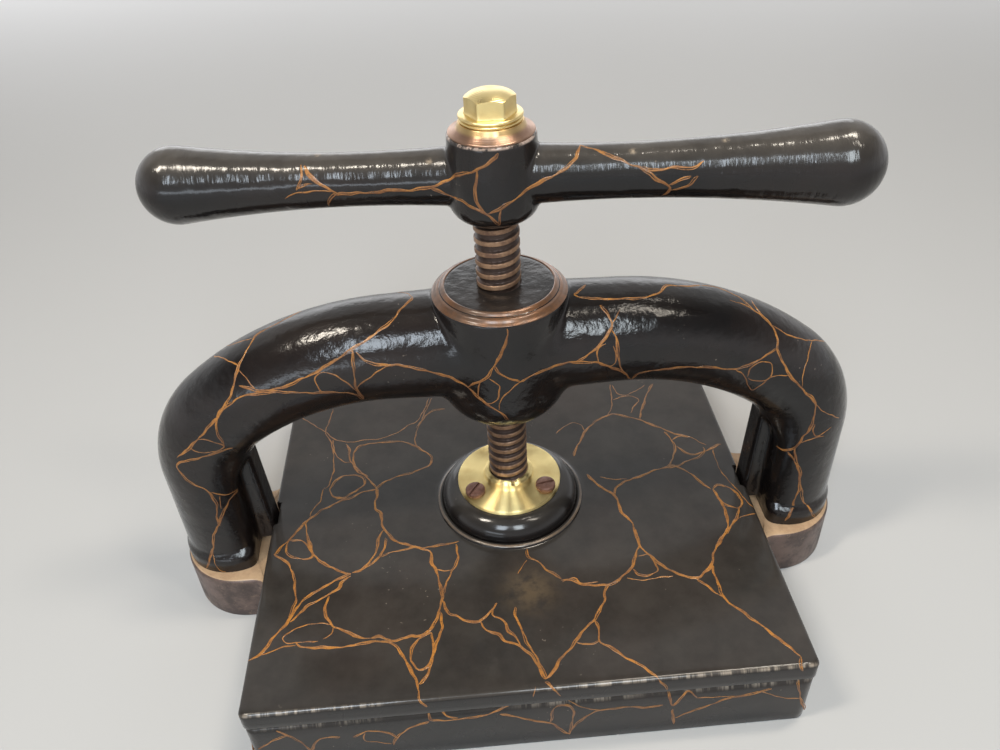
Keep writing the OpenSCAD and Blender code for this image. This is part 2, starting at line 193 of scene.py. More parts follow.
def piece_of(name, skin, finish, body, slot, *nodes, wear_and_highlight=None):
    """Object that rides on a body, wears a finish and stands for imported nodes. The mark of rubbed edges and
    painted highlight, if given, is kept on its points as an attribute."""
    piece = bpy.data.objects.new(name, mesh_of(name, *skin))
    bpy.context.scene.collection.objects.link(piece)
    if wear_and_highlight is not None:
        worn = piece.data.attributes.new("wear_and_highlight", "FLOAT", "POINT")
        worn.data.foreach_set("value", wear_and_highlight.astype(np.float32))
    piece.data.materials.append(finish)
    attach(piece, body)
    if nodes:
        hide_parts(*nodes)
    return piece


def carve(piece, *cutters):
    """Takes the closed skins of the cutters out of a piece, and keeps the result as its mesh."""
    tools = []
    for cutter in cutters:
        tool = bpy.data.objects.new("cutter", mesh_of("cutter", *cutter))
        bpy.context.scene.collection.objects.link(tool)
        step = piece.modifiers.new("cut", "BOOLEAN")
        step.operation = "DIFFERENCE"
        step.solver = "EXACT"
        step.object = tool
        tools.append(tool)
    seen = piece.evaluated_get(bpy.context.evaluated_depsgraph_get())
    cut = bpy.data.meshes.new_from_object(seen)
    piece.modifiers.clear()
    piece.data = cut
    cut.set_sharp_from_angle(angle=SHARP)
    for tool in tools:
        bpy.data.objects.remove(tool)


def arc(x, y, radius, start, end, count):
    """Points on an arc about (x, y), from one angle in degrees to another."""
    a = np.radians(np.linspace(start, end, count))
    return np.stack([x + radius * np.cos(a), y + radius * np.sin(a)], -1)


def ring_angles(cols):
    """Even angles round a ring."""
    return np.arange(cols) * TURN / cols


def round_axis(r, z, a, x=0.0, y=0.0):
    """Points at radii r, heights z and angles a round an upright axis."""
    return np.stack([x + r * np.cos(a), y + r * np.sin(a), z + 0 * a], -1)


def turned(profile, cols=128, x=0.0, y=0.0):
    """Rings of a lathe-turned skin: each (radius, height) of the profile goes round an upright axis."""
    p = np.asarray(profile, float)
    return round_axis(p[:, :1], p[:, 1:], ring_angles(cols), x, y)


def profile_of(*parts):
    """One profile from points and arcs, joined in order."""
    return np.concatenate([np.atleast_2d(np.asarray(part, float)) for part in parts])


# Arch: round arms and legs, a turned boss, D-shaped legs with a guide rib, and a collar round each foot

LEG_R = 27.0
FOOT_R = 30.5
FOOT_X = ARCH_HIGH[0] - FOOT_R
FOOT_H = 13.0
FOOT_ROUND = 6.0
LEG_X = FOOT_X + 2.0
ARM_ALONG = (0, 60, 110, 165)
ARM_RADII = (31.0, 29.0, 28.0, LEG_R)
CROWN_R = 160.0
CROWN_ANGLE = math.radians(38)
SHOULDER_R = 47.0
BOSS_R = 36.3
BOSS_ABOVE = 36.0
BOSS_BELOW = 45.0
BOSS_BEVEL_W = 6.8
BOSS_BEVEL_H = 4.5
BOSS_FOOT_R = 22.0
BORE_R = 11.86
LEG_FLAT_X = LEG_X - 17.5
FLAT_RUNOUT_R = 20.0
GUIDE_W = 17.0
GUIDE_X = HALF_W - 1.5
GUIDE_LEAN = 4.0
GUIDE_ROUND = 3.0
COLLAR_FILLET = 0.6
FLAT_ROUND = 4.0
BOSS_EDGE = 1.2
BOSS_FILLETS = (6.5, 2.0)
BOSS_FILLETS_UP = (4.0, 27.0)
ARM_REACH = 62.0
LEG_REACH = 60.0
LEG_REACH_INNER = 45.0
HAIR = 0.01
ARM_Z = BOSS_TOP - BOSS_ABOVE
CROWN_X = LEG_X - CROWN_R * math.sin(CROWN_ANGLE) - SHOULDER_R * (1 - math.sin(CROWN_ANGLE))
CROWN_Z = ARM_Z - CROWN_R
SHOULDER_X = LEG_X - SHOULDER_R
SHOULDER_Z = CROWN_Z + (CROWN_R - SHOULDER_R) * math.cos(CROWN_ANGLE)
GUIDE_TOP = SHOULDER_Z + LEG_R


def arch_bar(p):
    """Distance to the arch's round bar. Its centre line runs level from the boss, bends down about the
    crown's centre, then about the shoulder's, and ends in a straight leg; the bar thins out along it."""
    x, y, z = np.abs(p[..., 0]), p[..., 1], p[..., 2]
    crown_turn = np.arctan2(x - CROWN_X, z - CROWN_Z)
    spans = [x < CROWN_X, crown_turn < CROWN_ANGLE, z > SHOULDER_Z]
    off = np.select(spans, [z - ARM_Z, np.hypot(x - CROWN_X, z - CROWN_Z) - CROWN_R,
                            np.hypot(x - SHOULDER_X, z - SHOULDER_Z) - SHOULDER_R], x - LEG_X)
    along = np.select(spans[:2], [x, CROWN_X + CROWN_R * crown_turn], ARM_ALONG[-1])
    return np.hypot(off, y) - np.interp(along, ARM_ALONG, ARM_RADII)


def arch_distance(p):
    """Distance to the arch: the bar is joined with the foot collar and cut by the leg's flat, then joined
    with the guide rib and the boss, each with its own fillet."""
    x, y, z = np.abs(p[..., 0]), p[..., 1], p[..., 2]
    runout_z = SHOULDER_Z - FLAT_RUNOUT_R / 2
    hollow = np.hypot(x - LEG_FLAT_X + FLAT_RUNOUT_R, z - runout_z) - FLAT_RUNOUT_R
    keep = -np.where(z < runout_z, x - LEG_FLAT_X, hollow)
    collar = round_post(np.hypot(x - FOOT_X, y) - FOOT_R, z - LUG_TOP - FOOT_H, FOOT_ROUND)
    leg = smooth_max(smooth_min(arch_bar(p), collar, COLLAR_FILLET), keep, FLAT_ROUND)
    lean = GUIDE_LEAN * (z - BED_TOP) / (GUIDE_TOP - BED_TOP)
    guide = smooth_max(np.abs(y) - GUIDE_W / 2, GUIDE_X + lean - x, GUIDE_ROUND)
    guide = np.maximum(np.maximum(guide, x - LEG_X), np.maximum(BED_TOP - z, z - GUIDE_TOP))
    leg = smooth_min(leg, guide, GUIDE_ROUND)
    radius = np.hypot(x, y)
    slope = math.hypot(BOSS_BEVEL_W, BOSS_BEVEL_H)
    bevel = ((radius - BOSS_R) * BOSS_BEVEL_H + (z - BOSS_TOP + BOSS_BEVEL_H) * BOSS_BEVEL_W) / slope
    boss = round_post(radius - BOSS_R, ARM_Z - BOSS_BELOW - z, BOSS_FOOT_R)
    boss = smooth_max(smooth_max(boss, bevel, BOSS_EDGE), z - BOSS_TOP, BOSS_EDGE)
    fillet = np.interp(z - ARM_Z, BOSS_FILLETS_UP, BOSS_FILLETS)
    return np.maximum(smooth_min(leg, boss, fillet), LUG_TOP - z)


def arch_rings(cols=200):
    """Rings of the arch from the left foot over the boss to the right foot. Near the boss the rays fan out
    on cones about the arms' axis: a point is start + t * (slant, cos a, sin a). Along the bends and the leg
    they lie square to the centre line. Each ray ends where the arch's distance is nil."""
    a = ring_angles(cols)
    near_x, slant = fan_rays(slant=1.2, end=60.0, out=46, back=24)
    crown = np.linspace(0, CROWN_ANGLE, 64)[1:]
    bend = np.linspace(CROWN_ANGLE, math.pi / 2, 36)[1:]
    down = np.linspace(SHOULDER_Z, LUG_TOP, 46)[1:]
    start_x = np.concatenate([near_x, CROWN_X + CROWN_R * np.sin(crown),
                              SHOULDER_X + SHOULDER_R * np.sin(bend), np.full(len(down), LEG_X)])
    start_z = np.concatenate([np.full(len(near_x), ARM_Z), CROWN_Z + CROWN_R * np.cos(crown),
                              SHOULDER_Z + SHOULDER_R * np.cos(bend), down])
    tilt = np.concatenate([np.zeros(len(near_x)), crown, bend, np.full(len(down), math.pi / 2)])[:, None]
    slant = np.concatenate([slant, np.zeros(len(start_x) - len(slant))])[:, None]
    start = np.stack([start_x, 0 * start_x, start_z], -1)[:, None, :]
    toward = np.stack([slant + np.sin(tilt) * np.sin(a), np.cos(a) + 0 * slant,
                       np.cos(tilt) * np.sin(a) + 0 * slant], -1)
    inward = np.maximum(-np.sin(a), 0)
    reach = np.where(tilt > CROWN_ANGLE, LEG_REACH + (LEG_REACH_INNER - LEG_REACH) * inward, ARM_REACH)
    low_foot = start_z < LUG_TOP + HAIR
    start[low_foot, :, 2] += HAIR
    right = start + ray_depth(arch_distance, start, toward, reach)[..., None] * toward
    left = right[:0:-1] * (-1, 1, 1)
    return np.concatenate([left, right])


# Handle: a turned hub and two swelling grips on one line that leans a little

HUB_TOP = WASHER_LOW[2]
HUB_H = 43.0
HUB_BOTTOM = HUB_TOP - HUB_H
GRIP_UP = 21.0
GRIP_AT = np.array([0, 0, HUB_BOTTOM + GRIP_UP])
HANDLE_TURN = math.radians(-9.5)
GRIP_TILT = math.radians(2)
GRIP_REACH = 181.0
WAIST_R = 13.1
WAIST_AT = 63.0
SWELL_R = 720.0
HUB_TOP_R = 21.4
HUB_LOW_R = 22.8
HUB_FOOT_R = 10.0
HUB_EDGE_R = 1.0
HUB_FILLET = 2.0
HUB_BLEND = 0.2
HUB_FAN_END = 46.0
HANDLE_REACH = 36.0
TILT_COS, TILT_SIN = math.cos(GRIP_TILT), math.sin(GRIP_TILT)
TURN_COS, TURN_SIN = math.cos(HANDLE_TURN), math.sin(HANDLE_TURN)
GRIP_AXES = np.array([
    (TILT_COS * TURN_COS, TILT_COS * TURN_SIN, TILT_SIN),
    (-TURN_SIN, TURN_COS, 0),
    (-TILT_SIN * TURN_COS, -TILT_SIN * TURN_SIN, TILT_COS)])


def grip_outline(count=150):
    """Half outline of a grip as distances along and radii: a long hollow arc swells from the waist, and a
    ball that touches it ends at the reach."""
    run = GRIP_REACH - WAIST_AT
    ball = (run ** 2 + (WAIST_R + SWELL_R) ** 2 - SWELL_R ** 2) / (2 * (SWELL_R + run))
    ball_at = GRIP_REACH - ball
    touch = WAIST_AT + (ball_at - WAIST_AT) * SWELL_R / (SWELL_R + ball)
    turn = np.linspace(math.acos((touch - ball_at) / ball), 0.02, 34)
    x = np.concatenate([np.linspace(0, touch, count)[:-1], ball_at + ball * np.cos(turn)])
    hollow = WAIST_R + SWELL_R - np.sqrt(SWELL_R ** 2 - np.minimum(x - WAIST_AT, touch) ** 2)
    return x, np.where(x < touch, hollow, np.sqrt(np.maximum(ball ** 2 - (x - ball_at) ** 2, 0)))


GRIP_ALONG, GRIP_RADII = grip_outline()


def handle_distance(p):
    """Distance to the handle: a hub that tapers upwards, with a large round lower edge, joined to the grips'
    outline by a fillet."""
    q = (p - GRIP_AT) @ GRIP_AXES.T
    along = np.abs(q[..., 0])
    grip = np.hypot(q[..., 1], q[..., 2]) - np.interp(along, GRIP_ALONG, GRIP_RADII)
    grip = np.maximum(grip, along - GRIP_REACH)
    z = p[..., 2]
    wall = np.interp(z, (GRIP_AT[2], HUB_TOP), (HUB_LOW_R, HUB_TOP_R))
    around = np.hypot(p[..., 0], p[..., 1]) - wall
    low = round_post(around, HUB_BOTTOM - z, HUB_FOOT_R)
    hub = smooth_max(low, round_post(around, z - HUB_TOP, HUB_EDGE_R), HUB_BLEND)
    return smooth_min(grip, hub, HUB_FILLET)


def handle_rings(cols=144):
    """Rings of the handle from tip to tip. As on the arch, rays fan out on cones near the hub and stand
    square to the grips' line farther out; each ends where the handle's distance is nil."""
    a = ring_angles(cols)
    near, slant = fan_rays(slant=1.75, end=HUB_FAN_END, out=48, back=22)
    far = GRIP_ALONG[GRIP_ALONG > HUB_FAN_END + 0.5]
    along = np.concatenate([near, far])
    slant = np.concatenate([slant, np.zeros(len(far))])
    along = np.concatenate([-along[:0:-1], along])[:, None, None]
    slant = np.concatenate([-slant[:0:-1], slant])[:, None]
    start = GRIP_AT + along * GRIP_AXES[0]
    toward = np.stack([slant + 0 * a, np.cos(a) + 0 * slant, np.sin(a) + 0 * slant], -1) @ GRIP_AXES
    t = ray_depth(handle_distance, start, toward, np.full(toward.shape[:2], HANDLE_REACH))
    return start + t[..., None] * toward


# Platen: a flat plate with notches for the guide ribs, a bead and a domed boss with a socket

PLATEN_EDGE = 2.5
PLATEN_CORNER = 4.0
NOTCH_GAP = 0.8
NOTCH_CORNER = 0.6
BEAD_R = 44.2
BEAD_HALF = 2.0
DOME_R = 42.5
DOME_ROUND = 12.0
SOCKET_R = 19.5
SOCKET_DEPTH = 18.0
DOME_RISE = 14.0
PLATE_TOP = PLATEN_HIGH[2] - DOME_RISE


def plan_outline(corner_list, count):
    """Closed plan line through corner points, each rounded by its own radius, as count evenly spaced points.
    A round corner is an arc that touches both its sides."""
    p = np.array([c[:2] for c in corner_list], float)
    r = np.array([c[2] for c in corner_list])[:, None]
    back = np.roll(p, 1, 0) - p
    fore = np.roll(p, -1, 0) - p
    back = back / np.linalg.norm(back, axis=1, keepdims=True)
    fore = fore / np.linalg.norm(fore, axis=1, keepdims=True)
    half = np.arccos(np.clip((back * fore).sum(1, keepdims=True), -1, 1)) / 2
    bisector = (back + fore) / np.linalg.norm(back + fore, axis=1, keepdims=True)
    middle = p + bisector * r / np.sin(half)
    first = p + back * r / np.tan(half) - middle
    last = p + fore * r / np.tan(half) - middle
    share = np.linspace(0, 1, 13)[None, :, None]
    mixed = first[:, None] * (1 - share) + last[:, None] * share
    line = middle[:, None] + mixed / np.linalg.norm(mixed, axis=2, keepdims=True) * r[:, None]
    line = line.reshape(-1, 2)
    return evenly(np.concatenate([line, line[:1]]), count)


def evenly(line, count):
    """Points at even distances along a closed line whose last point repeats its first."""
    s = np.concatenate([[0], np.cumsum(np.linalg.norm(np.diff(line, axis=0), axis=1))])
    even = np.linspace(0, s[-1], count, endpoint=False)
    return np.stack([np.interp(even, s, column) for column in line.T], -1)


def stacked(plan, half_w, half_d, profile):
    """Rings of a plan line, drawn in about the origin by each inset of a profile, at its heights."""
    keep = np.stack([1 - profile[:, 0] / half_w, 1 - profile[:, 0] / half_d], -1)[:, None]
    flat = plan[None] * keep
    return np.concatenate([flat, np.broadcast_to(profile[:, None, 1:], flat.shape[:2] + (1,))], -1)


def upright(plan, low, high):
    """Closed skin of a plan line that rises straight from one height to another."""
    return closed_skin(stacked(plan, 1.0, 1.0, np.array([(0, low), (0, high)])))


def slab_distance(top, rounding):
    """Distance to a slab as wide and as deep as the platen, with a round edge at its top."""
    def distance(p):
        out = np.maximum(np.abs(p[..., 0]) - HALF_W, np.abs(p[..., 1]) - HALF_D)
        return round_post(out, p[..., 2] - top, rounding)

    return distance


def platen_rings(cols=800):
    """Rings of the platen: from the middle of its underside out to the plan line, up the side, round the top
    edge, in across the top to a circle, then over bead, dome and rim and down into the socket."""
    low, top, dome_top = PLATEN_LOW[2], PLATE_TOP, PLATEN_HIGH[2]
    notch_x, notch_y = GUIDE_X - NOTCH_GAP, GUIDE_W / 2 + NOTCH_GAP
    right = [(HALF_W, -HALF_D, PLATEN_CORNER), (HALF_W, -notch_y, NOTCH_CORNER),
             (notch_x, -notch_y, NOTCH_CORNER), (notch_x, notch_y, NOTCH_CORNER),
             (HALF_W, notch_y, NOTCH_CORNER), (HALF_W, HALF_D, PLATEN_CORNER)]
    plan = plan_outline(right + [(-x, -y, r) for x, y, r in right], cols)
    plate = profile_of((40, low), (1.0, low), arc(0.6, low + 0.6, 0.6, 270, 180, 4),
                       (0, low + 4), (0, top - PLATEN_EDGE - 3),
                       arc(PLATEN_EDGE, top - PLATEN_EDGE, PLATEN_EDGE, 180, 90, 8), (5, top), (30, top))
    turn = np.unwrap(np.arctan2(plan[:, 1], plan[:, 0]))
    boss = profile_of((60, top), (50, top), (BEAD_R + BEAD_HALF + 0.8, top),
                      arc(BEAD_R, top, BEAD_HALF, 10, 150, 12),
                      arc(DOME_R - DOME_ROUND, dome_top - DOME_ROUND, DOME_ROUND, 0, 90, 16),
                      (SOCKET_R + 1, dome_top), (SOCKET_R, dome_top - 1),
                      (SOCKET_R, dome_top - SOCKET_DEPTH), (4, dome_top - SOCKET_DEPTH))
    middle = round_axis(boss[:, :1], boss[:, 1:], turn)
    return np.concatenate([stacked(plan, HALF_W, HALF_D, plate), middle])


platen_distance = slab_distance(PLATE_TOP, PLATEN_EDGE)


def edge_wear_and_highlight(p, top, rounding):
    """Rubbed wear and painted highlight of points: one on the middle of a slab's round top edge at its front
    and back, where that edge catches the light, nil elsewhere.
    """
    inset = (HALF_D - np.abs(p[:, 1])).clip(0, rounding)
    slope = np.arctan2(np.maximum(p[:, 2] - top + rounding, 0), np.maximum(rounding - inset, 1e-6))
    return np.sin(2 * slope).clip(0, 1) ** 3


# Bed: a hollow slab, and a lug with a round end under each foot

BED_EDGE = 5.0
BED_CORNER = 6.0
BED_WALL = 11.0
BED_PLATE = 11.0
BED_RIB = 10.0
BED_RIB_LIFT = 2.0
POCKET_R = 9.0
LUG_R = 38.5
LUG_X = LEG_X - 9.0
LUG_FILLET = 12.0
LUG_EDGE = 2.0
RECESS_R = 17.5
RECESS_DEPTH = 16.0
BOLT_HOLE_R = 8.1
CUT_PAST = 1.0
LOW_EDGE = 0.8

bed_distance = slab_distance(BED_TOP, BED_EDGE)


def box_plan(half_w, half_d, corner, count):
    """Plan line of a rectangle with round corners, about the origin."""
    ways = SQUARE[1:] + SQUARE[:1]
    return plan_outline([(x * half_w, y * half_d, corner) for x, y in ways], count)


def low_edge():
    """Start of a side's profile: a small round edge at the floor."""
    return arc(LOW_EDGE, LOW_EDGE, LOW_EDGE, 270, 180, 4)


def bed_rings(cols=960):
    """Rings of the bed's slab: a round-cornered box with a small lower edge and a large upper one."""
    side = profile_of((90, 0), (30, 0), (1, 0), low_edge(), (0, 6), (0, BED_TOP - BED_EDGE - 5),
                      arc(BED_EDGE, BED_TOP - BED_EDGE, BED_EDGE, 180, 90, 10), (30, BED_TOP), (90, BED_TOP))
    return stacked(box_plan(HALF_W, HALF_D, BED_CORNER, cols), HALF_W, HALF_D, side)


def lug_plan(cols=200):
    """Plan line of the right-hand lug: a tongue with a round end and hollow corners at the bed's side."""
    end = arc(LUG_X, 0, LUG_R, 0, 90, 45)
    hollow = arc(HALF_W + LUG_FILLET, LUG_R + LUG_FILLET, LUG_FILLET, 270, 180, 14)
    root = np.array([(HALF_W - BED_WALL / 2, LUG_R + LUG_FILLET)])
    half = np.concatenate([end, hollow, root])
    return evenly(np.concatenate([half, (half * (1, -1))[::-1]]), cols)


def lug_rings(profile):
    """Rings of a lug's outside: its plan line, drawn in towards the lug's centre by a profile's insets."""
    plan = lug_plan()
    middle = np.array([LUG_X, 0])
    flat = middle + (plan - middle) * (1 - profile[:, :1, None] / LUG_R)
    return np.concatenate([flat, np.repeat(profile[:, 1:, None], len(plan), 1)], -1)


def lug_hole_rings():
    """Rings of the bolt's hole through a lug and the recess for its head, at the plan line's own angles."""
    x, y = (lug_plan() - (LEG_X, 0)).T
    hole = np.array([(BOLT_HOLE_R, LUG_TOP), (BOLT_HOLE_R, RECESS_DEPTH),
                     (RECESS_R, RECESS_DEPTH), (RECESS_R, 0)])
    return round_axis(hole[:, :1], hole[:, 1:], np.arctan2(y, x), LEG_X)


LUG_SIDE = profile_of(low_edge(), (0, 6), (0, LUG_TOP - LUG_EDGE - 4),
                      arc(LUG_EDGE, LUG_TOP - LUG_EDGE, LUG_EDGE, 180, 90, 6))
PAINT_T = 0.12
LUG_PAINT = profile_of((1.5, LUG_TOP - 0.5), (0.9, LUG_TOP - 0.35), (1.3, LUG_TOP + PAINT_T * 0.4),
                       (1.9, LUG_TOP + PAINT_T), (14, LUG_TOP + PAINT_T))


def pocket(x, y, w, d, high):
    """Closed skin of an upright hollow with a rounded rectangular plan, from below the bed to a height."""
    return upright(box_plan(w / 2, d / 2, POCKET_R, 160) + (x, y), -CUT_PAST, high)


def bed_hollows():
    """The spaces under the bed: four pockets between skirt and cross ribs, and the strip below the ribs."""
    inner_w, inner_d = 2 * (HALF_W - BED_WALL), 2 * (HALF_D - BED_WALL)
    w, d = (inner_w - BED_RIB) / 2, (inner_d - BED_RIB) / 2
    found = [pocket(x * (w + BED_RIB) / 2, y * (d + BED_RIB) / 2, w, d, BED_TOP - BED_PLATE)
             for x in (-1, 1) for y in (-1, 1)]
    return found + [pocket(0, 0, inner_w, inner_d, BED_RIB_LIFT)]


# Spindle

SPINDLE_R = 11.8
LEAD = 6.35
THREAD_DEPTH = 1.7
SPINDLE_FOOT_R = 19.0
SPINDLE_FOOT_T = 8.0
STUD_R = 6.5
CREST_SHARE = 0.34
FLANK_SHARE = 0.30
THREAD_RUNOUT = 4.0
THREAD_INTO_HUB = 6.0


def spindle_rings(cols=72, rise=0.28):
    """Rings of the spindle. On the thread the radius depends on the share of a turn that a point lies above
    the helix: share = height / lead - angle / turn, with a flat crest, sloping flanks and a round root."""
    a = ring_angles(cols)
    low, high = SPINDLE_LOW[2] + SPINDLE_FOOT_T, HUB_BOTTOM + THREAD_INTO_HUB
    foot = profile_of((SPINDLE_FOOT_R - 0.8, SPINDLE_LOW[2]), (SPINDLE_FOOT_R, SPINDLE_LOW[2] + 0.8),
                      (SPINDLE_FOOT_R, low - 0.8), (SPINDLE_FOOT_R - 0.8, low))
    z = np.arange(low, high, rise)[:, None]
    away = np.abs((z / LEAD - a / TURN) % 1.0 - 0.5) * 2
    fall = np.clip((away - CREST_SHARE) / FLANK_SHARE, 0, 1)
    fade = np.clip(np.minimum(z - low, high - z) / THREAD_RUNOUT, 0, 1)
    r = SPINDLE_R - THREAD_DEPTH * fall * fall * (3 - 2 * fall) * fade
    thread = round_axis(r, z, a)
    stud = profile_of((STUD_R, high + 0.5), (STUD_R, SPINDLE_HIGH[2]))
    return np.concatenate([turned(foot, cols), thread, turned(stud, cols)])


# Brass collar, its screws, the flared washer and the cap nut

FLANGE_T = 3.0
FLANGE_CONE = 1.5
NECK_R = 15.2
NECK_ROUND = 0.9
NECK_RING_R = 13.5
NECK_RING_H = 1.5
COVE_R = 1.9
HEAD_R = 6.0
SHANK_R = 2.75
SHANK_LEN = 12.0
HEAD_SEAT = PLATEN_HIGH[2] + FLANGE_T
SCREW_CIRCLE = 25.0
SCREW_ANGLES = {"left": 210, "right": 330, "rear": 90}
SLOT_ANGLES = {"left": 55, "right": 12, "rear": -30}
SLOT_W = 1.3
SLOT_D = 1.2
NICK_ANGLE = math.radians(-79)
NICK_W = 1.7
NICK_D = 1.7
NICK_FADE = 3.0
FLANGE_EDGE = 0.9
NECK_RING_EDGE = 0.6
SPIGOT_R = SOCKET_R - 0.1
SLOT_OVER = 1.2
WASHER_BORE_R = STUD_R + 0.1
WASHER_HOLLOW = ((0.62, 1.7), (0.5, 2.2), (0.3, 2.6), (0.12, 3.6))
NUT_FLANGE_R = 15.4
NUT_FLANGE_H = 3.6
NUT_BEAD_R = 0.95
NUT_FLATS = 21.5
NUT_DOME = 3.4
NUT_TURN = math.radians(-2)
NUT_CORNER_R = NUT_FLATS / 2 / math.cos(math.pi / 6)


def collar_rings():
    """Rings of the brass collar: bore, spigot, flange with a small round edge, cone, and a neck with a
    narrower ring on top. At the oil nick the neck's rim falls as exp(-(arc / width) squared)."""
    low, seat, top, r = COLLAR_LOW[2], PLATEN_HIGH[2], COLLAR_HIGH[2], COLLAR_HIGH[0]
    rim, cone = seat + FLANGE_T, seat + FLANGE_T + FLANGE_CONE
    profile = profile_of((BORE_R, low), (SPIGOT_R, low), (SPIGOT_R, seat), (r - 0.5, seat), (r, seat + 0.5),
                         arc(r - FLANGE_EDGE, rim - FLANGE_EDGE, FLANGE_EDGE, 0, 80, 6),
                         (r - 6.5, rim + 0.5), (NECK_R + 7, cone - 0.45),
                         arc(NECK_R + COVE_R, cone + COVE_R, COVE_R, 262, 180, 9),
                         arc(NECK_R - NECK_ROUND, top - NECK_RING_H - NECK_ROUND, NECK_ROUND, 0, 84, 7),
                         arc(NECK_RING_R - NECK_RING_EDGE, top - NECK_RING_EDGE, NECK_RING_EDGE, 0, 90, 5),
                         (BORE_R + 0.4, top), (BORE_R, top - 0.4))
    rings = turned(profile, 160)
    off = np.abs(np.arctan2(rings[..., 1], rings[..., 0]) - NICK_ANGLE)
    near_top = np.clip((rings[..., 2] - top + NICK_FADE) / NICK_FADE, 0, 1)
    rings[..., 2] -= NICK_D * near_top * np.exp(-(off * NECK_R / NICK_W) ** 2)
    return rings


def screw_rings(x, y):
    """Rings of a flange screw: a shank and a low head with a round top edge."""
    profile = profile_of((SHANK_R, HEAD_SEAT - SHANK_LEN), (SHANK_R, HEAD_SEAT), (HEAD_R - 0.3, HEAD_SEAT),
                         (HEAD_R, HEAD_SEAT + 0.4), (HEAD_R, SCREW_TOP - 1.6),
                         arc(HEAD_R - 1.2, SCREW_TOP - 1.3, 1.2, 0, 70, 7),
                         (2.5, SCREW_TOP - 0.02), (0.5, SCREW_TOP))
    return turned(profile, 64, x, y)


def slot_of(x, y, angle):
    """Closed skin of the slot across a screw's head."""
    c, s = math.cos(math.radians(angle)), math.sin(math.radians(angle))
    flat = np.array(SQUARE) * (HEAD_R, SLOT_W / 2) * SLOT_OVER
    plan = flat @ np.array([(c, s), (-s, c)]) + (x, y)
    return upright(plan, SCREW_TOP - SLOT_D, SCREW_TOP + CUT_PAST)


def washer_rings():
    """Rings of the flared washer: a hollow flare with a thick lower lip."""
    low, high, r = WASHER_LOW[2], WASHER_HIGH[2], WASHER_HIGH[0]
    neck = NUT_FLANGE_R + 0.3
    flare = r - 0.7 - neck
    hollow = [(neck + flare * out, low + up) for out, up in WASHER_HOLLOW]
    profile = profile_of((WASHER_BORE_R, low), (r - 0.3, low), arc(r - 0.5, low + 0.6, 0.5, -40, 80, 5),
                         hollow, (neck, high - 0.3), (neck - 0.3, high), (WASHER_BORE_R, high))
    return turned(profile, 128)


def nut_dome(r):
    """Height of the nut's domed top at a distance from its axis."""
    return NUT_HIGH[2] - NUT_DOME * (r / NUT_CORNER_R) ** 2.6


def nut_rings(cols=192):
    """Rings of the cap nut. The hexagon's reach at each angle is half its flats over the cosine of the angle
    to the nearest flat, softened at the corners; its top is a low dome that the hexagon cuts off."""
    a = ring_angles(cols)
    low, foot = NUT_LOW[2], NUT_LOW[2] + NUT_FLANGE_H
    off = (a - NUT_TURN) % (TURN / 6) - TURN / 12
    hexagon = smooth_min(NUT_FLATS / 2 / np.cos(off), NUT_CORNER_R * 0.985 + 0 * a, 0.5)
    bead = NUT_FLANGE_R - NUT_BEAD_R
    flange = profile_of((bead, low), arc(bead - 0.2, low + 0.8, 0.8, -80, 60, 6), (bead - 0.1, low + 1.6),
                        arc(bead, foot - NUT_BEAD_R, NUT_BEAD_R, -60, 84, 9))
    up = np.array([0.0, 0.05, 0.15, 0.3, 0.45, 0.6, 0.75, 0.9, 0.96, 1.0])[:, None]
    wall_r = hexagon + 0.5 * (1 - up) ** 8
    wall_z = foot + up * (nut_dome(hexagon) - foot)
    wall = round_axis(wall_r, wall_z, a)
    inward = np.concatenate([[0.985, 0.95], np.linspace(0.88, 0.06, 14)])[:, None]
    top_r = inward * hexagon
    top = round_axis(top_r, nut_dome(top_r), a)
    return np.concatenate([turned(flange, cols), wall, top])


# Painted bands: thin rings on the boss's bevel and on the platen's bead


def boss_band_rings():
    """Rings of the moulded rim on the boss's bevel: two beads with a shallow cove between them."""
    top, r_in, r_out = BOSS_TOP, BOSS_R - BOSS_BEVEL_W, BOSS_R
    share = np.linspace(0, 1, 40)
    r = r_in - 0.5 + share * (BOSS_BEVEL_W + 0.4)
    swell = 0.30 + 0.34 * np.cos(TURN * 2 * (share - 0.14)) * np.sin(math.pi * share) ** 0.5
    z = top - np.maximum(r - r_in, 0) * BOSS_BEVEL_H / BOSS_BEVEL_W + swell * np.sin(math.pi * share) ** 0.4
    under = profile_of((r_out - 1.0, top - BOSS_BEVEL_H - 1.5), (r_in, top - 2.0))
    return turned(np.concatenate([np.stack([r, z], -1), under]), 160)


def bead_band_rings():
    """Rings of the painted line on the bead: a thin lens over the bead's outer shoulder."""
    shoulder = arc(BEAD_R, PLATE_TOP, BEAD_HALF + PAINT_T, 44, 84, 8)
    inner = arc(BEAD_R, PLATE_TOP, BEAD_HALF - 0.4, 84, 44, 6)
    return turned(np.concatenate([shoulder, inner]), 200)


# Painted veins. Each line is its half width in millimetres, which LINE_WIDTH scales, then the photograph's
# pixels that it runs through

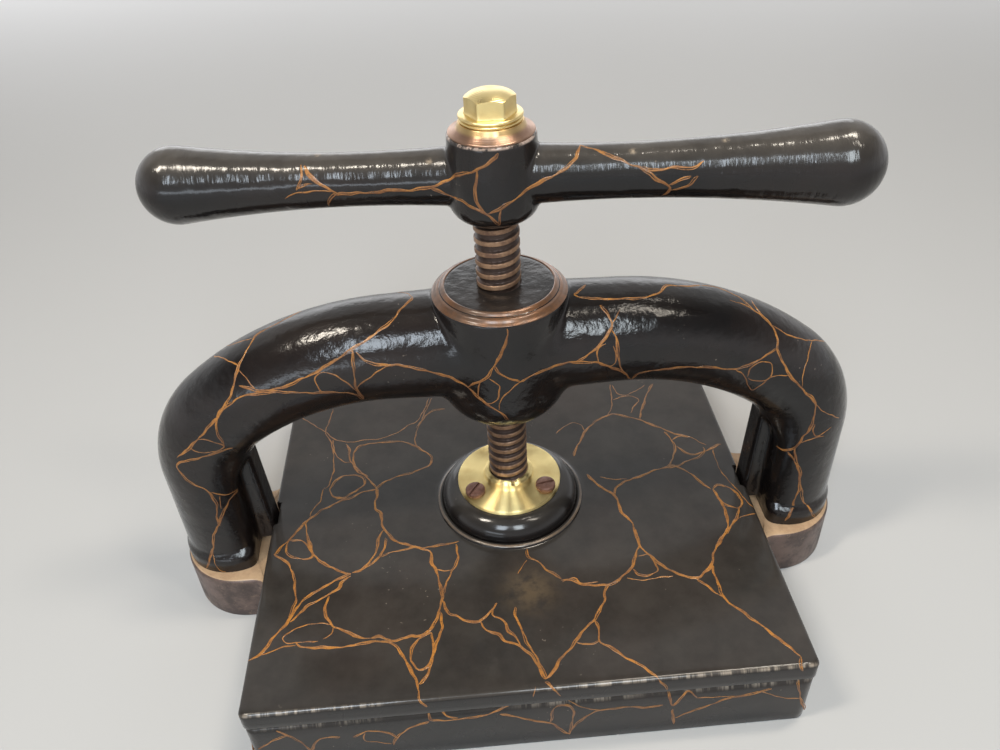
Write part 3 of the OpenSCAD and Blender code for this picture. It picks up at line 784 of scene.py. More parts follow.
PLATEN_VEINS = (
    (0.8, (307, 540), (310, 548), (318, 559), (332, 567), (343, 573), (351, 574)),
    (0.7, (352, 573), (361, 569), (369, 562), (375, 554), (378, 545), (380, 536), (384, 529)),
    (0.7, (355, 572), (371, 565), (379, 557), (385, 547), (385, 538)),
    (0.6, (381, 557), (393, 552), (405, 549), (416, 546)),
    (0.9, (351, 574), (331, 583), (313, 593), (304, 599), (298, 606), (288, 622), (271, 640), (259, 655),
     (248, 661)),
    (0.8, (351, 576), (341, 582), (338, 588), (323, 598), (308, 606), (303, 611), (290, 622)),
    (0.8, (329, 596), (325, 606), (326, 613), (332, 625), (336, 628), (343, 630), (352, 635), (360, 638),
     (371, 638)),
    (0.9, (371, 638), (380, 636), (387, 639), (395, 641), (404, 639), (411, 636), (418, 636), (429, 631),
     (434, 622), (439, 611), (442, 600), (442, 590), (439, 580), (435, 569), (431, 562), (431, 553),
     (422, 548), (409, 545), (398, 542), (390, 537), (384, 529), (382, 522), (381, 513), (376, 508),
     (375, 501), (377, 494), (376, 487)),
    (0.5, (333, 628), (332, 633), (328, 637), (323, 639)),
    (0.5, (331, 625), (321, 623), (311, 624), (301, 627), (291, 631), (284, 636), (283, 640), (290, 643),
     (318, 641)),
    (0.8, (296, 643), (302, 647), (322, 648), (333, 648), (353, 645), (374, 641), (392, 644), (400, 652),
     (405, 660), (416, 678), (418, 691)),
    (0.5, (257, 656), (270, 652), (280, 648), (296, 645)),
    (0.6, (274, 554), (281, 558), (288, 563), (292, 572), (295, 591), (296, 600), (293, 610), (289, 620)),
    (0.6, (290, 540), (286, 546), (287, 554), (294, 558), (305, 559), (312, 556), (309, 548), (304, 542),
     (297, 540), (290, 540)),
    (0.7, (376, 489), (367, 491), (358, 494), (352, 498), (341, 501), (330, 506), (321, 510), (314, 516),
     (306, 521), (301, 528), (294, 535), (288, 541), (280, 548), (274, 555)),
    (0.6, (314, 516), (307, 522), (306, 527), (308, 540), (311, 548), (314, 556)),
    (0.6, (336, 499), (345, 498), (351, 494), (357, 490), (364, 485), (364, 480), (358, 476), (351, 475),
     (343, 476), (335, 481), (330, 488), (331, 493), (336, 497), (345, 498)),
    (0.5, (310, 516), (314, 508), (321, 500), (323, 490), (329, 485), (332, 476), (334, 466), (332, 445),
     (327, 436), (326, 429), (330, 420), (333, 409)),
    (0.5, (300, 416), (312, 424), (324, 431), (333, 438), (340, 441), (351, 442), (365, 440), (378, 439),
     (389, 436), (400, 431), (409, 425), (417, 421), (424, 410), (429, 398)),
    (0.5, (333, 440), (334, 450), (338, 457), (344, 462), (351, 462)),
    (0.6, (346, 444), (350, 450), (350, 460), (354, 466), (358, 472), (365, 476), (372, 482), (376, 487)),
    (0.6, (368, 477), (362, 473), (356, 466), (353, 458), (355, 451), (359, 446), (366, 444), (377, 443),
     (390, 442), (405, 442), (416, 446), (422, 450), (429, 454), (431, 460), (428, 466), (418, 470),
     (409, 474), (396, 477), (384, 482), (376, 488)),
    (0.5, (432, 398), (427, 408), (419, 426), (415, 437), (416, 444), (422, 450)),
    (0.6, (445, 409), (436, 410), (428, 414), (422, 420), (416, 428)),
    (0.6, (422, 548), (436, 546), (450, 544), (459, 541)),
    (0.6, (456, 544), (458, 558), (456, 566), (452, 572), (446, 583), (443, 594)),
    (0.5, (436, 569), (444, 571), (452, 570)),
    (0.8, (442, 600), (448, 613), (456, 616), (464, 620), (474, 621), (481, 620), (490, 612), (497, 603)),
    (0.8, (480, 621), (487, 630), (499, 634), (506, 641), (516, 644), (522, 649), (531, 655), (538, 666),
     (546, 679)),
    (0.7, (493, 609), (494, 616), (504, 621), (508, 631), (516, 638), (521, 646)),
    (0.6, (515, 607), (514, 615), (518, 621), (525, 637), (533, 651), (539, 663), (546, 678)),
    (0.8, (546, 679), (554, 669), (561, 658), (570, 649), (577, 641), (585, 628), (594, 620), (599, 609),
     (605, 600), (605, 591), (610, 584)),
    (0.6, (577, 642), (585, 644), (594, 644), (600, 641)),
    (0.7, (595, 621), (599, 632), (600, 641), (613, 648), (627, 658), (639, 665), (650, 672), (658, 678)),
    (0.6, (527, 549), (529, 556), (539, 562), (545, 569), (552, 573), (561, 579)),
    (0.9, (561, 580), (571, 580), (579, 584), (594, 585), (610, 584), (621, 577), (631, 569), (634, 562),
     (637, 552), (639, 545)),
    (0.5, (562, 582), (574, 578), (582, 583), (598, 582)),
    (0.9, (587, 474), (602, 488), (615, 496), (621, 510), (632, 523), (636, 536), (640, 546), (650, 555),
     (661, 564), (672, 571), (683, 576), (697, 578), (704, 573), (711, 564), (715, 550), (726, 532),
     (727, 519), (720, 499), (713, 489)),
    (0.6, (633, 569), (639, 575), (648, 576), (657, 571), (655, 564), (650, 555)),
    (0.5, (638, 556), (648, 554)),
    (0.5, (627, 578), (638, 580), (650, 579), (663, 577), (673, 576)),
    (0.6, (713, 489), (718, 485), (727, 487), (736, 492), (742, 500), (740, 507), (733, 507), (724, 503),
     (716, 494)),
    (0.7, (740, 506), (737, 518), (731, 526), (725, 534)),
    (0.4, (737, 519), (747, 515), (757, 513)),
    (0.8, (711, 564), (715, 575), (724, 596), (733, 606), (742, 611), (751, 619), (767, 629), (792, 649),
     (801, 657)),
    (0.7, (697, 579), (706, 584), (713, 591), (723, 597)),
    (0.7, (615, 496), (616, 489), (624, 482), (632, 479), (652, 471), (664, 468), (672, 466), (682, 469),
     (692, 474), (700, 481), (711, 489)),
    (0.5, (600, 477), (613, 479), (627, 479)),
    (0.6, (666, 467), (672, 460), (675, 451), (675, 445), (671, 439), (664, 432)),
    (0.6, (668, 468), (679, 466), (686, 461), (698, 457), (704, 450), (703, 447)),
    (0.6, (676, 446), (684, 451), (692, 454), (700, 453), (710, 449), (721, 444)),
    (0.5, (672, 440), (679, 436), (690, 437), (700, 442), (706, 445)),
    (0.7, (574, 456), (578, 445), (585, 431), (594, 423), (604, 417), (613, 414), (626, 416), (640, 420),
     (652, 425), (663, 429), (677, 434), (690, 437)),
    (0.5, (585, 431), (581, 425), (572, 423), (562, 428), (556, 434)),
    (0.5, (608, 415), (612, 405), (611, 394), (610, 384)),
    (0.6, (640, 419), (642, 407), (647, 394), (653, 384)),
    (0.5, (612, 385), (617, 393), (626, 395), (637, 390), (645, 385)),
    (0.5, (613, 400), (624, 396), (634, 397), (639, 401), (633, 407), (631, 413)),
    (0.4, (713, 449), (715, 458), (720, 469), (727, 479), (736, 488), (743, 497), (754, 508)),
    (0.7, (432, 633), (433, 646), (432, 658), (426, 667), (418, 669), (411, 661), (411, 650), (416, 641),
     (425, 635), (432, 633)),
    (0.8, (439, 611), (441, 620), (442, 628), (438, 639), (435, 651), (431, 664), (427, 675), (419, 684)),
    (0.6, (419, 690), (420, 699), (427, 707)),
    (0.5, (536, 687), (533, 697)),
    (0.6, (545, 682), (553, 689), (561, 696)),
    (0.6, (801, 657), (802, 664), (803, 671)),
    (0.6, (658, 678), (664, 686), (667, 690)),
    (0.4, (527, 560), (522, 566), (518, 574)),
)

ARCH_VEINS = (
    (0.7, (412, 297), (402, 308), (389, 324), (369, 338), (354, 347), (341, 356), (326, 367), (311, 375),
     (294, 382), (276, 389), (257, 391), (239, 386)),
    (0.7, (309, 307), (280, 322), (257, 334), (252, 341), (245, 354), (239, 366), (234, 384), (228, 399),
     (214, 422), (196, 441), (186, 450), (177, 458)),
    (0.5, (207, 354), (225, 359), (239, 366)),
    (0.5, (239, 370), (248, 381), (257, 391)),
    (0.4, (216, 349), (230, 345), (252, 338)),
    (0.6, (276, 393), (257, 393), (241, 397), (228, 406), (218, 415), (216, 431), (224, 445)),
    (0.6, (257, 391), (280, 391), (305, 393), (328, 393), (351, 393), (364, 399)),
    (0.5, (328, 393), (321, 391), (316, 384), (315, 377), (323, 373), (335, 375), (348, 384), (356, 391)),
    (0.6, (352, 350), (353, 370), (357, 388), (364, 399)),
    (0.7, (356, 352), (366, 361), (380, 364), (396, 365), (412, 368), (434, 373), (449, 376), (459, 382),
     (468, 387), (479, 399), (491, 407), (500, 412), (509, 420)),
    (0.5, (396, 365), (385, 367), (371, 377), (360, 384), (357, 391)),
    (0.5, (196, 441), (203, 439), (216, 443), (224, 447), (214, 452), (198, 452), (190, 448)),
    (0.6, (233, 448), (220, 452), (200, 458), (186, 460), (177, 465), (180, 472), (187, 479), (196, 485),
     (207, 491), (212, 497), (216, 505), (217, 514), (220, 526)),
    (0.5, (211, 492), (220, 495), (229, 494), (238, 489)),
    (0.7, (238, 490), (232, 497), (228, 504), (224, 512), (220, 523), (216, 529), (213, 537), (213, 548),
     (211, 557), (208, 565), (204, 572)),
    (0.4, (220, 496), (221, 509)),
    (0.4, (213, 553), (215, 564), (220, 570), (226, 572)),
    (0.7, (507, 329), (507, 341), (502, 353), (495, 365), (487, 376), (480, 381), (468, 387)),
    (0.6, (495, 366), (500, 373), (509, 379), (520, 382)),
    (0.5, (520, 382), (513, 388), (506, 394), (501, 401), (499, 410)),
    (0.5, (480, 381), (478, 391), (481, 400), (490, 404), (497, 400), (499, 391), (499, 385), (489, 379)),
    (0.7, (520, 382), (531, 376), (545, 371), (561, 364), (577, 362), (595, 362), (609, 367), (622, 372),
     (632, 380)),
    (0.7, (600, 305), (608, 316), (612, 325), (609, 334), (599, 346), (588, 355), (577, 361)),
    (0.5, (620, 310), (615, 318), (612, 325)),
    (0.6, (612, 330), (617, 341), (617, 355), (622, 369), (627, 375)),
    (0.5, (606, 344), (599, 348), (597, 357), (600, 364), (609, 366), (616, 362), (616, 353), (613, 346)),
    (0.6, (586, 285), (578, 292), (575, 295), (590, 299), (609, 299), (631, 298), (650, 296), (661, 292),
     (666, 286), (679, 286), (700, 285)),
    (0.6, (632, 380), (638, 374), (652, 371), (670, 368), (688, 367), (711, 368), (734, 369), (747, 365),
     (764, 357), (777, 349)),
    (0.7, (751, 300), (762, 315), (772, 325), (777, 338), (777, 349), (784, 365), (793, 378), (803, 390),
     (815, 404), (814, 418), (810, 430), (803, 437), (797, 445), (791, 449), (784, 450), (776, 446)),
    (0.5, (730, 300), (747, 306), (762, 315)),
    (0.5, (772, 325), (785, 333), (801, 339), (824, 341)),
    (0.5, (812, 341), (808, 357), (804, 371), (802, 387)),
    (0.5, (747, 377), (751, 368), (762, 362), (771, 363), (772, 372), (767, 380), (755, 381), (748, 378)),
    (0.5, (736, 370), (745, 377), (751, 390), (762, 384), (772, 377), (789, 375)),
    (0.4, (815, 404), (826, 413), (839, 418)),
    (0.6, (700, 285), (718, 288), (739, 297), (751, 307), (762, 316)),
    (0.4, (309, 307), (330, 300), (352, 295), (380, 292), (405, 293), (413, 297)),
    (0.5, (815, 424), (813, 430), (816, 436), (824, 433), (831, 427)),
    (0.5, (824, 436), (812, 439), (799, 443)),
    (0.7, (795, 448), (795, 455), (798, 465), (799, 476), (799, 488), (795, 498), (793, 508), (789, 516),
     (785, 521)),
    (0.6, (788, 452), (794, 460), (799, 470), (800, 481), (802, 491), (804, 502), (809, 508), (812, 514),
     (815, 518)),
)

HANDLE_VEINS = (
    (0.8, (498, 153), (492, 159), (487, 164), (481, 168), (476, 171), (469, 173), (460, 175), (455, 177),
     (449, 180), (440, 183), (431, 187), (420, 188), (410, 190), (390, 191), (371, 193), (350, 193),
     (340, 193), (334, 195)),
    (1.2, (304, 166), (309, 173), (315, 180), (322, 185), (330, 190), (337, 193)),
    (0.7, (301, 165), (302, 174), (298, 184), (296, 190)),
    (0.6, (297, 189), (305, 186), (312, 184)),
    (0.6, (338, 193), (332, 198), (330, 202), (329, 206)),
    (0.5, (331, 192), (318, 191), (305, 192), (294, 194), (285, 199)),
    (0.8, (477, 171), (476, 180), (475, 190), (477, 199), (480, 207), (485, 213), (489, 214)),
    (0.6, (431, 188), (442, 192), (453, 197), (462, 202), (470, 207), (480, 211), (488, 216), (495, 221),
     (500, 225)),
    (0.8, (489, 214), (497, 211), (502, 208), (511, 203), (520, 196), (525, 190), (530, 187), (540, 182),
     (550, 177), (560, 172), (570, 166), (576, 159), (578, 151), (580, 145)),
    (0.7, (502, 208), (500, 215), (500, 225)),
    (0.8, (580, 145), (590, 148), (600, 151), (610, 157), (620, 160), (630, 164), (640, 167), (646, 171),
     (651, 174), (656, 178), (661, 181), (666, 184), (670, 187), (668, 191), (663, 195)),
    (0.6, (641, 168), (650, 170), (660, 170), (670, 168), (680, 167), (692, 167), (704, 161)),
    (0.6, (669, 185), (676, 181), (684, 178), (691, 176)),
    (0.6, (669, 190), (680, 189), (690, 185), (695, 180), (698, 176)),
)

BED_VEINS = (
    (0.7, (429, 721), (417, 725), (407, 730), (398, 737), (394, 745)),
    (0.6, (398, 738), (386, 733), (370, 731), (363, 733), (353, 737)),
    (0.5, (365, 733), (365, 741), (378, 742), (392, 744)),
    (0.6, (340, 737), (328, 737), (318, 741), (311, 750), (303, 744), (295, 738), (287, 735), (276, 731)),
    (0.6, (287, 736), (274, 741), (258, 749)),
    (0.7, (428, 708), (429, 714), (430, 720), (440, 721), (452, 720), (479, 716), (495, 712), (512, 704)),
    (0.6, (440, 708), (446, 716), (458, 718)),
    (0.7, (500, 714), (514, 716), (532, 721), (550, 723), (559, 728), (570, 734)),
    (0.6, (570, 734), (573, 721), (572, 709), (563, 705), (553, 710), (550, 722)),
    (0.7, (570, 732), (579, 721), (595, 712), (613, 709), (631, 707), (647, 707), (663, 705)),
    (0.5, (561, 696), (577, 705), (595, 710), (613, 709)),
    (0.7, (667, 690), (670, 699), (673, 706), (680, 698), (688, 691), (697, 698)),
    (0.6, (673, 709), (674, 724)),
    (0.6, (675, 718), (693, 711), (711, 705), (727, 698), (749, 695), (772, 689)),
    (0.5, (697, 698), (715, 697), (738, 696), (761, 692), (783, 698), (801, 698)),
    (0.6, (799, 680), (800, 696), (804, 710)),
)

EYE = np.array(CAMERA_AT) / MM
FOCAL_PX = CAMERA_LENS / SENSOR_W * IMAGE_W
RAY_START = 150.0
RAY_STEPS = 90
RAY_EASE = 0.8
RAY_LEAP = 60.0
RAY_MISS = 0.05
SETTLE_STEPS = 5
LINE_STEP = 0.9
LINE_HEIGHT = 0.11
LINE_WIDTH = 0.68
LINE_SWERVE = 0.22
WAVER_SHARE = 0.2
WAVER_LENGTHS = (4.3, 1.7)
SWERVE_LENGTHS = (2.6, 1.15)
STRAY_LENGTH = 6.5
LINE_TAPER = 5.0
LINE_TIP = 0.12
STRAND_FROM = 0.6
STRAND_SHARE = 0.5
STRAND_DRIFT = 1.0
LINE_SINK = 0.25
LINE_SECTION = np.array([(-1, -0.06), (-0.6, 0.7), (0, 1), (0.6, 0.7), (1, -0.06),
                         (0, -LINE_SINK / LINE_HEIGHT)])


def smooth_line(points, samples=8):
    """Curve through chosen points: between two of them it is a cubic whose slopes are half the chord between
    their neighbours."""
    p = np.asarray(points, float)
    ends = np.concatenate([2 * p[:1] - p[1:2], p, 2 * p[-1:] - p[-2:-1]])
    a, b, c, d = (ends[n:n + len(p) - 1, None] for n in range(4))
    t = np.arange(samples)[None, :, None] / samples
    line = b + 0.5 * t * (c - a + t * (2 * a - 5 * b + 4 * c - d + t * (3 * (b - c) + d - a)))
    return np.concatenate([line.reshape(-1, p.shape[1]), p[-1:]])


def seen_on(solid, pixels):
    """Points of a solid that the camera sees at pixels: each ray steps on by its distance to the solid."""
    u = (pixels[:, :1] - IMAGE_W / 2) / FOCAL_PX
    v = (IMAGE_H / 2 - pixels[:, 1:]) / FOCAL_PX
    toward = np.array(AHEAD) + u * np.array(RIGHTWARD) + v * np.array(UPWARD)
    toward = toward / np.linalg.norm(toward, axis=1, keepdims=True)
    t = np.full((len(pixels), 1), RAY_START)
    for _ in range(RAY_STEPS):
        t = t + RAY_EASE * np.minimum(solid(EYE + t * toward)[:, None], RAY_LEAP)
    p = EYE + t * toward
    return p[np.abs(solid(p)) < RAY_MISS]


def settled(solid, p):
    """Points moved along the surface's normals until they lie on the solid."""
    for _ in range(SETTLE_STEPS):
        p = p - solid(p)[..., None] * normals_of(solid, p)
    return p


def painted_line(solid, p, half, seed, drift=0.0):
    """Closed skin of one painted line: a low lens carried along the points, about half wide to either side,
    uneven and narrower at its ends. It swerves by small sines and strays sideways by the drift. Its width is
    laid on the solid, and its lower side lies inside."""
    s = np.concatenate([[0], np.cumsum(np.linalg.norm(np.diff(p, axis=0), axis=1))])
    even = np.linspace(0, s[-1], max(int(s[-1] / LINE_STEP), 5))
    p = np.stack([np.interp(even, s, column) for column in p.T], -1)
    normal = normals_of(solid, p)
    along = np.gradient(p, axis=0)
    side = np.cross(normal, along)
    side = side / np.linalg.norm(side, axis=1, keepdims=True)
    long, short = WAVER_LENGTHS
    waver = np.sin(even / long + seed) + np.sin(even / short + 2.7 * seed)
    ends = np.clip(np.minimum(even, s[-1] - even) / (LINE_TAPER * half), LINE_TIP, 1) ** 0.5
    wide = half * LINE_WIDTH * (1 + WAVER_SHARE * waver) * ends
    long, short = SWERVE_LENGTHS
    swerve = np.sin(even / long + 1.9 * seed) + np.sin(even / short + 0.7 * seed) * 0.6
    stray = LINE_SWERVE * swerve + drift * np.sin(even / STRAY_LENGTH + 2.3 * seed)
    p = settled(solid, p + (stray * ends)[:, None] * side)
    reach, rise = LINE_SECTION.T
    rings = p[:, None] + (wide[:, None] * reach)[..., None] * side[:, None]
    rings = rings - solid(rings)[..., None] * normal[:, None]
    lift = LINE_HEIGHT * rise * np.where(rise > 0, ends[:, None], 1)
    return closed_skin(rings + lift[..., None] * normal[:, None])


def runs_of(p, keep, least=6):
    """The unbroken runs of points that are kept, without the shortest ones."""
    edges = np.flatnonzero(np.diff(np.concatenate([[0], keep.astype(int), [0]])))
    return [p[start:end] for start, end in edges.reshape(-1, 2) if end - start >= least]


def veins_of(solid, lines, turns=()):
    """Skin of all painted lines of a casting: those that the photograph shows, and copies of them, turned
    about the upright axis and stretched to the casting, wherever a keep rule holds. Wide lines have a thin
    strand that winds about them."""
    skins = []
    for number, (half, *pixels) in enumerate(lines):
        shown = seen_on(solid, smooth_line(pixels))
        runs = [shown]
        for matrix, keep in turns:
            copy = settled(solid, shown @ np.array(matrix, float).T)
            runs += runs_of(copy, keep(solid, copy))
        for run in runs:
            skins.append(painted_line(solid, run, half, number))
            if half >= STRAND_FROM:
                skins.append(painted_line(solid, run, half * STRAND_SHARE, number + 0.5, STRAND_DRIFT))
    return joined(skins)


# Finishes: base colours and lengths in metres

JAPAN_BLACK = (0.0050, 0.0042, 0.0042)
JAPAN_BROWN = (0.0135, 0.0090, 0.0076)
# Colour of the pale film: dust, which on the platen also serves as painted sheen
DUST_AND_SHEEN_FILM = (0.125, 0.110, 0.094)
DUST_SPECK = (0.19, 0.155, 0.125)
# A brown patch on the platen in front of the boss
BROWN_PATCH = (0.15, 0.105, 0.06)
BROWN_PATCH_R = 0.024
# Pale line on round top edges: rubbed paint, and a painted highlight where the edge catches the light
RUBBED_EDGE_AND_HIGHLIGHT = (0.40, 0.33, 0.26)
CHIPPED_IRON = (0.30, 0.235, 0.17)
BARE_RIM = (0.42, 0.31, 0.25)
BARE_RIM_FROM = (HUB_TOP - 1.6) * MM
BARE_RIM_FULL = (HUB_TOP - 0.5) * MM
HUB_WALL = (0.024, 0.023)
VEIN_GOLD = (0.42, 0.17, 0.03)
VEIN_THIN = (0.18, 0.072, 0.023)
VEIN_PITS = (0.06, 0.032, 0.02)
# Vein colours for painted shade: towards the back, and on faces that look sideways or down
VEIN_FADED_AND_SHADED = (0.085, 0.050, 0.026)
VEIN_SHADE_BROWN = (0.12, 0.042, 0.018)
BRONZE_GRIME = (0.07, 0.042, 0.03)
NUT_POLISH = (0.70, 0.52, 0.22)
POLISH_FADE = 0.0016
LATHE_PITCH = 0.0011
CREST_WORN = (0.34, 0.20, 0.115)
CREST_GRIME = (0.15, 0.08, 0.050)
THREAD_OIL = (0.056, 0.034, 0.026)
CREST_R = (0.0112, 0.01178)


class Nodes:
    """A node tree, the place that its patterns are laid out in, and short ways to add nodes."""

    def __init__(self, tree, place):
        self.tree = tree
        self.place = tree.nodes.new("ShaderNodeTexCoord").outputs[place]

    def put(self, socket, value):
        """Links an output to a socket, or sets the socket to a plain value."""
        if isinstance(value, bpy.types.NodeSocket):
            self.tree.links.new(value, socket)
        else:
            socket.default_value = value

    def noise(self, scale, detail=2.0, roughness=0.5, place=None):
        """Noise of about 1 / scale metres."""
        node = self.tree.nodes.new("ShaderNodeTexNoise")
        self.put(node.inputs["Vector"], place or self.place)
        node.inputs["Scale"].default_value = scale
        node.inputs["Detail"].default_value = detail
        node.inputs["Roughness"].default_value = roughness
        return node.outputs["Fac"]

    def math(self, operation, a, b=0.0):
        node = self.tree.nodes.new("ShaderNodeMath")
        node.operation = operation
        self.put(node.inputs[0], a)
        self.put(node.inputs[1], b)
        return node.outputs[0]

    def times(self, a, b):
        return self.math("MULTIPLY", a, b)

    def plus(self, a, b):
        return self.math("ADD", a, b)

    def ramp(self, value, low, high, to_low=0.0, to_high=1.0):
        """Share of the way from low to high, held at both ends."""
        node = self.tree.nodes.new("ShaderNodeMapRange")
        node.interpolation_type = "SMOOTHSTEP"
        self.put(node.inputs["Value"], value)
        for socket, number in zip(("From Min", "From Max", "To Min", "To Max"), (low, high, to_low, to_high)):
            node.inputs[socket].default_value = number
        return node.outputs["Result"]

    def mix(self, share, a, b):
        """Colour between two colours."""
        node = self.tree.nodes.new("ShaderNodeMix")
        node.data_type = "RGBA"
        self.put(node.inputs["Factor"], share)
        self.put(node.inputs["A"], a if isinstance(a, bpy.types.NodeSocket) else (*a, 1))
        self.put(node.inputs["B"], b if isinstance(b, bpy.types.NodeSocket) else (*b, 1))
        return node.outputs["Result"]

    def bump(self, height, depth, below=None):
        """Normal bent by a height, in metres, over an earlier normal."""
        node = self.tree.nodes.new("ShaderNodeBump")
        node.inputs["Distance"].default_value = depth
        self.put(node.inputs["Height"], height)
        if below:
            self.put(node.inputs["Normal"], below)
        return node.outputs["Normal"]

    def axes(self):
        """The place's three coordinates."""
        node = self.tree.nodes.new("ShaderNodeSeparateXYZ")
        self.put(node.inputs[0], self.place)
        return node.outputs

    def stretched(self, x, y, z):
        """The place with its coordinates stretched, so that noise runs longest along the smallest."""
        node = self.tree.nodes.new("ShaderNodeVectorMath")
        node.operation = "MULTIPLY"
        self.put(node.inputs[0], self.place)
        node.inputs[1].default_value = (x, y, z)
        return node.outputs["Vector"]

    def radius(self):
        """Distance from the upright axis."""
        x, y, _ = self.axes()
        return self.math("SQRT", self.plus(self.times(x, x), self.times(y, y)))

    def wear_and_highlight(self):
        """The rubbed wear and painted highlight that are kept on the piece's points."""
        node = self.tree.nodes.new("ShaderNodeAttribute")
        node.attribute_name = "wear_and_highlight"
        return node.outputs["Fac"]

    def upward_share(self, low, high):
        """How far the surface faces up, from low to high."""
        facing = self.tree.nodes.new("ShaderNodeSeparateXYZ")
        self.put(facing.inputs[0], self.tree.nodes.new("ShaderNodeNewGeometry").outputs["Normal"])
        return self.ramp(facing.outputs["Z"], low, high)

    def spot(self, at, wide):
        """Share that falls from one to nil with the distance from a point, both in metres."""
        node = self.tree.nodes.new("ShaderNodeVectorMath")
        node.operation = "DISTANCE"
        self.put(node.inputs[0], self.place)
        node.inputs[1].default_value = at
        return self.ramp(node.outputs["Value"], 0.0, wide, 1.0, 0.0)

    def background_rays(self):
        """One for rays from the camera and for those that show the background in gloss or glass, else nil."""
        path = self.tree.nodes.new("ShaderNodeLightPath").outputs
        glossy = self.math("MAXIMUM", path["Is Glossy Ray"], path["Is Transmission Ray"])
        return self.math("MAXIMUM", path["Is Camera Ray"], glossy)


class Finish(Nodes):
    """A material with one shader."""

    def __init__(self, name, **sockets):
        self.material = bpy.data.materials.new(name)
        self.material.use_nodes = True
        super().__init__(self.material.node_tree, "Object")
        self.shader = self.tree.nodes["Principled BSDF"]
        for socket, value in sockets.items():
            self.shader.inputs[socket.replace("_", " ").title().replace("Ior", "IOR")].default_value = value

    def feed(self, socket, value):
        self.put(self.shader.inputs[socket], value)


def japan_finish(name, dust_and_sheen, dust_from, gloss, wave, brush, marks=None):
    """Black japan: a glossy coat over a softer brown-black ground, with waves and a pale film on surfaces that
    face up. The film is dust, and where it is strong it is also painted sheen that stands for reflected light.
    The first argument after the name is the film's strength, dust_from how far a surface must face up to hold
    it, gloss the coat's roughness, wave the waves' height in metres and brush the stretch of the brush marks.
    Marks adds a piece's own marks."""
    f = Finish(name, specular_ior_level=0.05, coat_weight=0.8, coat_roughness=gloss)
    blotch = f.ramp(f.noise(16, 4, 0.6), 0.35, 0.7)
    colour = f.mix(blotch, JAPAN_BLACK, JAPAN_BROWN)
    # Painted sheen: the pale film on faces that look up is dust, and where strong it also stands for reflected
    # light
    dust_and_sheen_film = f.times(f.ramp(f.noise(48, 5, 0.65), 0.1, 0.85, 0.3, 0.75), f.upward_share(dust_from, 0.99))
    colour = f.mix(f.times(dust_and_sheen_film, dust_and_sheen), colour, DUST_AND_SHEEN_FILM)
    specks = f.times(f.ramp(f.noise(430, 1), 0.75, 0.775), f.ramp(f.noise(22, 2), 0.54, 0.66))
    colour = f.mix(f.times(specks, 0.6), colour, DUST_SPECK)
    f.feed("Base Color", marks(f, colour) if marks else colour)
    f.feed("Roughness", f.plus(f.ramp(f.noise(34, 3), 0.3, 0.75, 0.24, 0.36), f.times(dust_and_sheen_film, 0.12)))
    waves = f.bump(f.noise(60, 2), wave)
    strokes = f.bump(f.noise(320, 3, 0.6, f.stretched(*brush)), wave / 4, waves)
    f.feed("Normal", strokes)
    f.feed("Coat Normal", strokes)
    return f.material


def edge_wear_and_highlight_marks(f, colour):
    """A rubbed edge that is also a painted highlight: a thin pale line, broken into ticks across it, over a
    faint unbroken line.
    """
    ticks = f.ramp(f.noise(300, 3, 0.7, f.stretched(1, 0.08, 0.08)), 0.42, 0.62)
    rubbed = f.times(ticks, f.ramp(f.noise(11, 2), 0.4, 0.62))
    share = f.times(f.wear_and_highlight(), f.plus(f.times(rubbed, 0.7), 0.06))
    return f.mix(share, colour, RUBBED_EDGE_AND_HIGHLIGHT)


def platen_marks(f, colour):
    """A brown patch in front of the boss, and rubbed edges with a painted highlight."""
    patch = f.times(f.spot(tuple(brown_patch_at * MM), BROWN_PATCH_R), f.ramp(f.noise(120, 5, 0.6), 0.3, 0.62))
    return edge_wear_and_highlight_marks(f, f.mix(f.times(patch, 0.5), colour, BROWN_PATCH))


def handle_marks(f, colour):
    """Chips on the grips, and a rim of the hub that is rubbed bare under the washer."""
    rough = f.ramp(f.noise(420, 4, 0.7), 0.36, 0.6)
    for chip in chips_at:
        colour = f.mix(f.times(f.spot(tuple(chip * MM), CHIP_R * MM), rough), colour, CHIPPED_IRON)
    high_up = f.ramp(f.axes()[2], BARE_RIM_FROM, BARE_RIM_FULL)
    near_rim = f.times(high_up, f.ramp(f.radius(), *HUB_WALL))
    return f.mix(f.times(near_rim, f.ramp(f.noise(240, 4, 0.7), 0.42, 0.6)), colour, BARE_RIM)


def gold_finish():
    """Gold vein paint under varnish: orange, thin in places, and faded at random. Painted shade makes it darker
    towards the back and browner where it faces sideways or down."""
    f = Finish("gold_vein_paint", specular_ior_level=0.3, coat_weight=0.3, coat_roughness=0.12)
    worn = f.ramp(f.noise(120, 4, 0.65), 0.36, 0.7)
    colour = f.mix(worn, VEIN_GOLD, VEIN_THIN)
    colour = f.mix(f.times(f.ramp(f.noise(900, 2), 0.54, 0.68), 0.55), colour, VEIN_PITS)
    # Painted shade: darker towards the back, with random fading on top
    faded_and_shaded = f.plus(f.ramp(f.axes()[1], -0.02, 0.11, 0.0, 0.5), f.ramp(f.noise(20, 3), 0.5, 0.7, 0.0, 0.4))
    colour = f.mix(faded_and_shaded, colour, VEIN_FADED_AND_SHADED)
    # Painted shade: browner on faces that look sideways or down
    shaded_sides = f.ramp(f.upward_share(-0.3, 0.5), 0, 1, 0.6, 0)
    f.feed("Base Color", f.mix(shaded_sides, colour, VEIN_SHADE_BROWN))
    f.feed("Roughness", f.ramp(worn, 0, 1, 0.36, 0.52))
    f.feed("Normal", f.bump(f.noise(800, 2), 0.00004))
    return f.material


